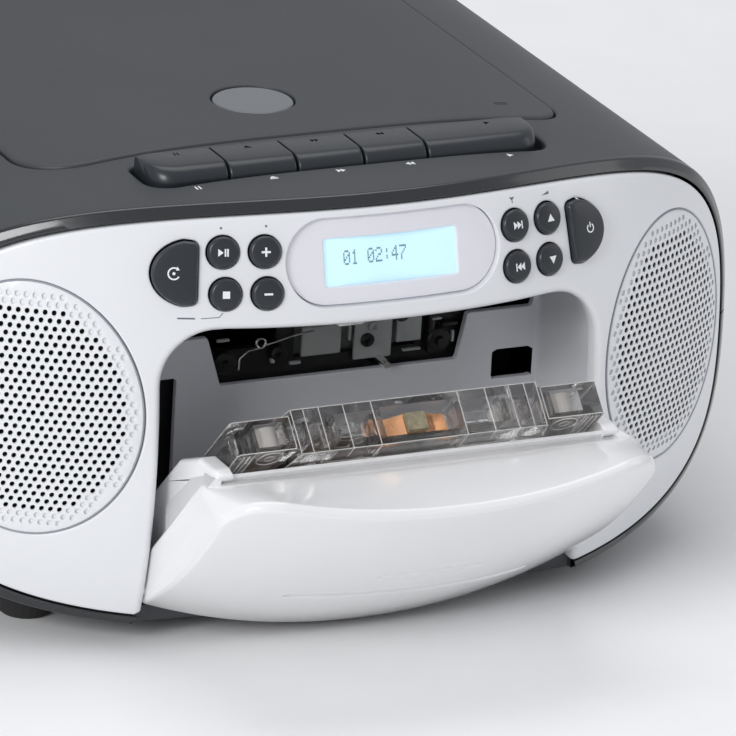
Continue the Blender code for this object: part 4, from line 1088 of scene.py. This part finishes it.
def door_profile(x, inset):
    """Closed door's section at x, as (y, z) points, pulled in by inset at its ends."""
    reach = abs(x) - (DOOR_HALF - DOOR_CORNER)
    top = DOOR_TOP - (DOOR_CORNER - math.sqrt(max(0.0, DOOR_CORNER ** 2 - reach ** 2)) if reach > 0 else 0.0)
    top -= inset
    bottom = 7.9 + 3.6 * (abs(x) / 60.0) ** 2 + inset
    face_y = lambda z: float(front_y(x, z)) + inset + 0.05
    crest = face_y(top)
    back = SHELF_Y - 0.3 - inset
    land = min(crest + 2.4, back - 0.8)
    foot_z = min(SHELF_Z + 0.9, top - 1.0) - inset
    share = np.linspace(0.0, 1.0, 70)
    zs = bottom + 1.2 + (top - bottom - 3.4) * share
    fine = [z for z in np.arange(31.0, 54.0, 0.16) if bottom + 1.2 < z < top - 2.2]
    zs = np.array(sorted(set(zs) | set(fine)))
    profile = [(back, bottom + 0.4)]
    profile += fillet((face_y(bottom), bottom), (back, bottom), (face_y(bottom + 8), bottom + 8), 1.0, 6)
    profile += [(face_y(z) + face_relief(x, z), z) for z in zs]
    profile += fillet((crest, top), (face_y(top - 8), top - 8), (land, top), 1.7, 8)
    profile += fillet((land, top), (crest, top), (back, foot_z), 1.6, 6)
    profile += [(land + (back - land) * t, top + (foot_z - top) * t) for t in (0.4, 0.6, 0.8, 1.0)]
    return profile


def make_door():
    columns = 190
    roll = 0.9
    ends = [(DOOR_HALF - roll * (1 - math.sin(t)), roll * (1 - math.cos(t)))
            for t in (0.3, 0.6, 0.9, 1.2, 1.57)]
    stations = [(-x, i) for x, i in reversed(ends)]
    stations += [(x, 0.0) for x in np.linspace(-DOOR_HALF + roll, DOOR_HALF - roll, columns)] + ends
    parts = [loft_mesh([[(x, y, z) for y, z in door_profile(x, inset)] for x, inset in stations])]
    parts += [turned_mesh((s * 56.9, HINGE_Y, HINGE_Z), (s * 61.9, HINGE_Y, HINGE_Z),
                          [(0, 1.2), (4.7, 1.2), (5.0, 0.9)], 20)
              for s in (-1, 1)]
    piece("door_front", join(parts), "gloss", "door", "door_panel", sharp=0.9, turn=swing_open())


def make_holder():
    """Pocket behind the door's face: two cheeks with rounded edges, a front wall and a floor."""
    cheek = [(SHELF_Y - 0.2, 6.9), (31.4, 6.9), (32.2, 20.0), (32.3, 37.0), (32.1, 48.0), (27.4, 59.2),
             (21.4, 65.4),
             (SHELF_Y - 0.2, 67.0)]
    smooth = []
    for i, corner in enumerate(cheek):
        smooth += fillet(corner, cheek[i - 1], cheek[(i + 1) % len(cheek)], 3.0 if i in (4, 5, 6) else 0.8, 5)

    def upright(outline, *levels):
        return loft_mesh([[(x, y, z) for x, y in outline] for z in levels])

    parts = []
    for side in (-1, 1):
        plane = (side * 50.75, 0, 0), TO_BACK, TO_TOP, (side, 0, 0)
        parts.append(plate_mesh(smooth, plane, 0.0, 4.65, 1.3, 6))
        face = float(front_y(55, 30)) + 8.0
        gusset = [(side * (DOOR_HALF - 0.4), face), (side * 55.0, face), (side * 53.0, 29.0),
                  (side * 54.6, 29.0)]
        parts.append(loft_mesh([[(gx, 17.0 + (gy - 17.0) * width, z) for gx, gy in gusset]
                                for z, width in ((33.0, 1.0), (50.0, 0.9), (60.0, 0.6), (66.0, 0.2))]))
    parts.append(upright(box(-50.9, 50.9, 18.6, 31.2), 6.9, 7.5))
    wall = box(-50.9, 50.9, 18.1, 19.8)
    parts.append(loft_mesh([[(x, y, z) for x, y in wall] for z in (6.9, 64.0)]
                           + [[(x, y + (0.7 if y < 19 else -0.1), 65.2) for x, y in wall]]))
    for side in (-1, 1):
        parts.append(upright([(side * abs(x), y) for x, y in box(-50.9, -46.6, 30.9, 32.0)], 7.0, 39.5))
    piece("cassette_pocket", join(parts), "gloss", "door", "door_holder", sharp=0.7,
          turn=swing_open())


# ---- cassette ----

def block(x, y, z, edge=0.25):
    """Block with chamfered edges along its tallest way."""
    (x0, x1), (y0, y1), (z0, z1) = (sorted(ends) for ends in (x, y, z))
    levels = ((z0, edge), (z0 + edge, 0.0), (z1 - edge, 0.0), (z1, edge))
    return loft_mesh([[(a, b, z) for a, b in rounded_rect(x0 + pull, x1 - pull, y0 + pull, y1 - pull, edge, 2)]
                      for z, pull in levels])


def make_cassette():
    """Ribs, inner walls, roller pins, painted glints along the edges, and screws of the cassette. Its shell is
    the CAD node.
    """
    y0, y1, top = TAPE_Y, TAPE_Y + TAPE_THICK, TAPE_TOP
    mid = 0.5 * (y0 + y1)

    def add(name, parts, mat, slot):
        piece(name, join(parts), mat, "cassette", turn=swing_open())

    def pin(x, drop, inset, profile):
        return turned_mesh((x, y0 + inset, top - drop), (x, y1 - inset, top - drop), profile, 20)

    clear, pins = [], []
    for side in (-1, 1):
        for i in range(5):
            x = side * (45.6 + 0.85 * i)
            for depth in ((y0 - 0.35, y0 + 0.2), (y1 - 0.2, y1 + 0.35)):
                clear.append(block((x - 0.22, x + 0.22), depth, (top - 13.0, top - 0.8), 0.1))
        for x, tall in ((24.2, 8.0), (30.4, 8.5), (35.6, 8.8)):
            clear.append(block((side * x - 0.5, side * x + 0.5), (y0 + 1.45, y1 - 1.45),
                               (top - tall, top - 0.9)))
        clear.append(pin(side * 27.6, 3.6, 1.4, [(0, 1.5), (5.9, 1.5)]))
        clear.append(block((side * 11.4, side * 12.3), (y0 + 1.0, y1 - 1.0), (top - 8.3, top - 0.6)))
        pins.append(pin(side * 40.3, 4.6, 1.35, [(0, 0.9), (6.0, 0.9)]))
    add("cassette_ribs", clear, "clear", "cassette_clear")
    add("cassette_pins", pins, "bright", "hub_white")
    # Thin pale tubes along the edges, ribs and rings below are painted highlights: glints on the clear plastic.
    lines = []

    def line(y, *path):
        lines.append([(x, y, top - drop) for x, drop in path])

    for y_body, y_thick in ((y0 + 0.05, mid - 5.9), (y1 - 0.05, mid + 5.9)):
        for side in (-1, 1):
            line(y_body, (side * 50.05, top - 52.0), (side * 50.05, 0.9), (side * 49.3, 0.1),
                 (side * 34.4, 0.1))
            line(y_thick, (side * 33.5, 0.1), (side * 36.9, 16.3))
            line(y_body, (side * 45.2, 0.6), (side * 45.2, 12.5))
        line(y_thick, (-33.5, 0.1), (33.5, 0.1))
        line(y_thick, (-36.9, 16.3), (36.9, 16.3))
    for side in (-1, 1):
        for x in (11.8, 19.4, 26.0, 30.2, 33.5):
            lines.append([(side * x, y, top - 0.06) for y in (mid - 5.85, mid + 5.85)])
        for x, drop in ((11.8, 7.5), (19.4, 5.0), (26.0, 7.0)):
            line(mid - 5.95, (side * x, 0.1), (side * x, drop))
        for x in (45.6, 46.9, 48.2):
            line(y0 - 0.3, (side * x, 1.0), (side * x, 12.8))
        line(mid - 5.95, (side * 11.8, 7.5), (side * 26.0, 7.0))
        lines.append([(side * 34.4, y, top - 0.1) for y in (y0 + 0.1, y1 - 0.1)])
    rings = [(x, mid - 6.0, 11.5, 2.3, 25) for x in (-27.5, -14.2, 14.2, 27.5)]
    rings += [(x, y0 - 0.05, 4.6, radius, 31) for x in (-40.3, 40.3) for radius in (1.3, 3.4)]
    for x, y, drop, radius, count in rings:
        lines.append([(x + radius * math.cos(a), y, top - drop + radius * math.sin(a))
                      for a in np.linspace(0, 6.283, count)])
    add("cassette_painted_glints", [tube_mesh(path, 0.11, 8) for path in lines], "glint", "cassette_clear")
    screws = [screw_mesh((x, y1 - 0.9, top - drop), TO_BACK, 1.3)
              for x, drop in ((-46.3, 5.0), (46.3, 5.0), (-46.3, 59.0), (46.3, 59.0), (0, 14.0))]
    add("cassette_screws", screws, "bright", "bright_steel")


# ---- bay ----

def make_bay():
    """Liner with its window, slot and holes."""
    def loop(half, top, radius, y):
        return [(x, y, z) for x, z in rounded_rect(-half, half, 9.2, top, (0.5, 0.5, radius, radius), 12)]

    mouth = [(x, float(front_y(x, z)) + 1.6, z) for x, _, z in loop(BAY_HALF, BAY_TOP, BAY_RADIUS, 0)]
    loops = [mouth, loop(BAY_HALF, BAY_TOP, BAY_RADIUS, 18.0), loop(BAY_HALF, BAY_TOP, BAY_RADIUS, 20.5)]
    for s, c in quarter(6)[1:]:
        pull = 1.9 + 1.6 * c
        loops.append(loop(BAY_HALF - pull, BAY_TOP - pull, BAY_RADIUS - 2, BAY_BACK - 1.6 + 1.6 * s))
    points, faces = loft_mesh(loops, caps=False)
    walls = points, [face for face in faces if max(points[i][2] for i in face) > 9.4]
    half, top = BAY_HALF - 3.5, BAY_TOP - 3.5
    features = [(keep_in(rounded_rect(-half, half, 9.2, top, (0.5, 0.5, 13, 13), 12)), 0.02)]
    edge = top - 0.6
    window = [(-43.5, edge), (-43.5, 71.5), (-34.7, 71.5), (-30.6, 58.2), (35.2, 58.2), (37.6, 70.5),
              (56.0, 70.5), (56.0, edge)]
    features.append((keep_out(window), 0.35))
    features += [(keep_out(hole), 0.3) for hole in (box(45.4, 56.4, 51.5, 59.5), box(-50.5, -42.8, 22.0, 61.5))]
    features += [(keep_out(circle(s * HUB_PITCH / 2, HUB_Z, 6.5, 36)), 0.5) for s in (-1, 1)]
    step = 0.9
    grid = grid_of(np.arange(-half - 1, half + 1.1, step), np.arange(8.5, top + 1.1, step))
    panel = trimmed_sheet(grid, features, on_wall(BAY_BACK), push(0, 1.5, 0))
    piece("bay_lining", join([walls, panel]), "bay", stands_for="bay_liner", sharp=0.9)


def make_mechanism_detail():
    """Dark walls, posts, levers, plates and tabs behind the liner, and a wire spring with a coil."""
    walls = (((-55, 57), (60.0, 61.0), (20, 88)), ((-54, -44), (50.0, 51.0), (14, 66)),
             ((44, 58), (48.0, 49.0), (48, 62)))
    posts = ((-36, 80.5, 2.4), (-29, 63.5, 3.0), (-14, 64.5, 2.2), (30.5, 63.5, 3.2), (33.5, 76.5, 1.6),
             (10.5, 65.5, 1.8))
    levers = (((27.6, 29.4), (35.5, 37.8), (60, 76)), ((31.5, 36.0), (35.8, 37.8), (66.6, 67.8)),
              ((31.5, 36.0), (35.8, 37.8), (70.2, 71.2)))
    plates = (((-43.2, -37.6), (36.6, 37.6), (60.5, 69.5)), ((7.0, 17.5), (36.0, 37.0), (60.2, 71.0)),
              ((-7.5, 3.4), (36.2, 37.2), (62.5, 70.5)), ((19.0, 26.0), (36.4, 37.2), (63.5, 71.0)))
    tabs = ((-31.5, 69.4, 3.4, 0.7), (-28.0, 61.6, 0.8, 3.6), (-11.0, 61.2, 3.0, 0.8), (5.0, 66.0, 0.7, 4.8),
            (20.5, 61.4, 5.0, 0.6), (28.4, 69.0, 2.6, 0.6), (34.0, 62.6, 0.8, 3.0), (-16.4, 62.2, 1.2, 1.2))
    dark = [block(*sides, 0.3) for sides in walls]
    for x, z, r in posts:
        profile = [(0, r), (2.6, r), (3.0, r - 0.4), (3.05, r * 0.4), (4.4, r * 0.35)]
        dark.append(turned_mesh((x, 37.9, z), (x, 34.6, z), profile, 24))
    dark.append(block((-38.5, -33.0), (35.0, 37.8), (73, 83), 0.4))
    dark += [block(*sides, 0.3) for sides in levers]
    piece("deck_detail_black", join(dark), "black")
    steel = [block(*sides, 0.3) for sides in plates]
    steel += [screw_mesh(at, TO_FRONT, r) for at, r in (((-40.6, 36.4, 66.0), 1.5), ((12.0, 35.9, 69.0), 1.4))]
    steel += [block((x, x + wide), (35.2, 36.2), (z, z + tall), 0.12) for x, z, wide, tall in tabs]
    piece("deck_detail_steel", join(steel), "plate")
    path = [(-25.2, 35.4, 61.4), (-25.0, 35.4, 64.4), (-22.6, 35.4, 66.2)]
    for i in range(26):
        a = 2 * math.pi * i / 12.0
        path.append((-19.2 + 1.25 * math.sin(a), 35.4 + 0.03 * i, 67.85 - 1.25 * math.cos(a)))
    path += [(-15.0, 36.0, 67.6), (-9.5, 36.0, 68.9), (-4.4, 36.0, 69.5)]
    piece("lever_spring", tube_mesh(path, 0.26, 10), "bright", stands_for="wire_spring")


# ---- aerial, underside and bare CAD nodes ----

def make_aerial():
    """Folded telescopic mast with its sleeves, tip and pivot."""
    profile = [(0.0, 2.4)]
    for i, start in enumerate((8.0, 44.0, 80.0, 116.0, 150.0)):
        r = 2.4 - 0.2 * i
        profile += [(start, r), (start + 0.3, r), (start + 0.31, r - 0.2)]
    profile += [(179.0, 1.4), (179.2, 2.8), (180.0, 3.2), (185.0, 3.2), (186.0, 2.4)]
    pivot = [(0, 3.8), (0.5, 4.4), (6.2, 4.4), (6.7, 3.8), (6.72, 1.4), (6.8, 1.2)]
    parts = [turned_mesh((96.0, 200.3, 93.0), (-90.0, 200.3, 93.0), profile, 32),
             turned_mesh((96.0, 196.6, 93.0), (96.0, 203.4, 93.0), pivot, 36)]
    piece("aerial", join(parts), "bright", "antenna_mast", "antenna_mast")
    plane = (-72.0, BACK_Y - 0.2, 93.0), (-1, 0, 0), TO_TOP, TO_BACK
    rest = plate_mesh(rounded_rect(-3.2, 3.2, -4.2, 4.2, 1.2, 4), plane, 0.0, 2.0, 0.5, 3)
    piece("aerial_rest", rest, "grey")


def bevel(node, width, segments=2, angle=0.6):
    thing = frame["nodes"][node]
    step = thing.modifiers.new("edges", "BEVEL")
    step.width = width / 1000.0
    step.segments = segments
    step.limit_method = "ANGLE"
    step.angle_limit = angle
    step.harden_normals = False
    step.use_clamp_overlap = True
    thing.data.shade_smooth()


def dress_nodes():
    """Materials, and broken edges, for the CAD nodes that are shown."""
    feet = tuple(f"foot_{end}_{side}" for end in ("front", "back") for side in ("left", "right"))
    worn = {
        "grey": ("handle", "battery_door"),
        "dark": ("cd_deck", "cd_spindle"),
        "paper": ("speaker_left", "speaker_right"),
        "black": ("deck_chassis", "spindle_left", "spindle_right", "pinch_arm", "cd_pickup", "mains_inlet"),
        "plate": ("deck_plate", "head_sled"),
        "bright": ("key_shaft", "capstan_flywheel", "tape_head"),
        "clear": ("cassette_shell",),
        "hub": ("tape_hub_left", "tape_hub_right"),
        "roller": ("guide_roller_left", "guide_roller_right"),
        "tape": ("tape_pack",),
        "copper": ("pad_spring",),
        "felt": ("pad_felt",),
        "rubber": ("pinch_roller", *feet),
        "board": ("main_board",),
    }
    for mat, nodes in worn.items():
        for node in nodes:
            thing = frame["nodes"][node]
            thing.data.materials.clear()
            thing.data.materials.append(mats[mat])
    widths = {"handle": 1.3, "battery_door": 0.5, "cd_deck": 0.4, "cassette_shell": 0.18, "deck_chassis": 0.25,
              "deck_plate": 0.2, "head_sled": 0.2, "pinch_arm": 0.2, "cd_pickup": 0.5, "tape_head": 0.3,
              "mains_inlet": 0.15, **dict.fromkeys(feet, 0.3), "pad_spring": 0.05, "pad_felt": 0.3}
    for node, width in widths.items():
        bevel(node, width, 3 if width > 1 else 2)


def main():
    mats.update(make_palette())
    make_camera()
    make_studio()
    make_fascia()
    make_shell("cabinet_upper_shell", "cabinet_upper", True)
    make_shell("cabinet_lower_shell", "cabinet_lower", False)
    make_back()
    make_grilles()
    make_buttons()
    make_marks()
    make_display()
    make_lid()
    make_keys()
    make_door()
    make_holder()
    make_cassette()
    make_bay()
    make_mechanism_detail()
    make_aerial()
    dress_nodes()


main()
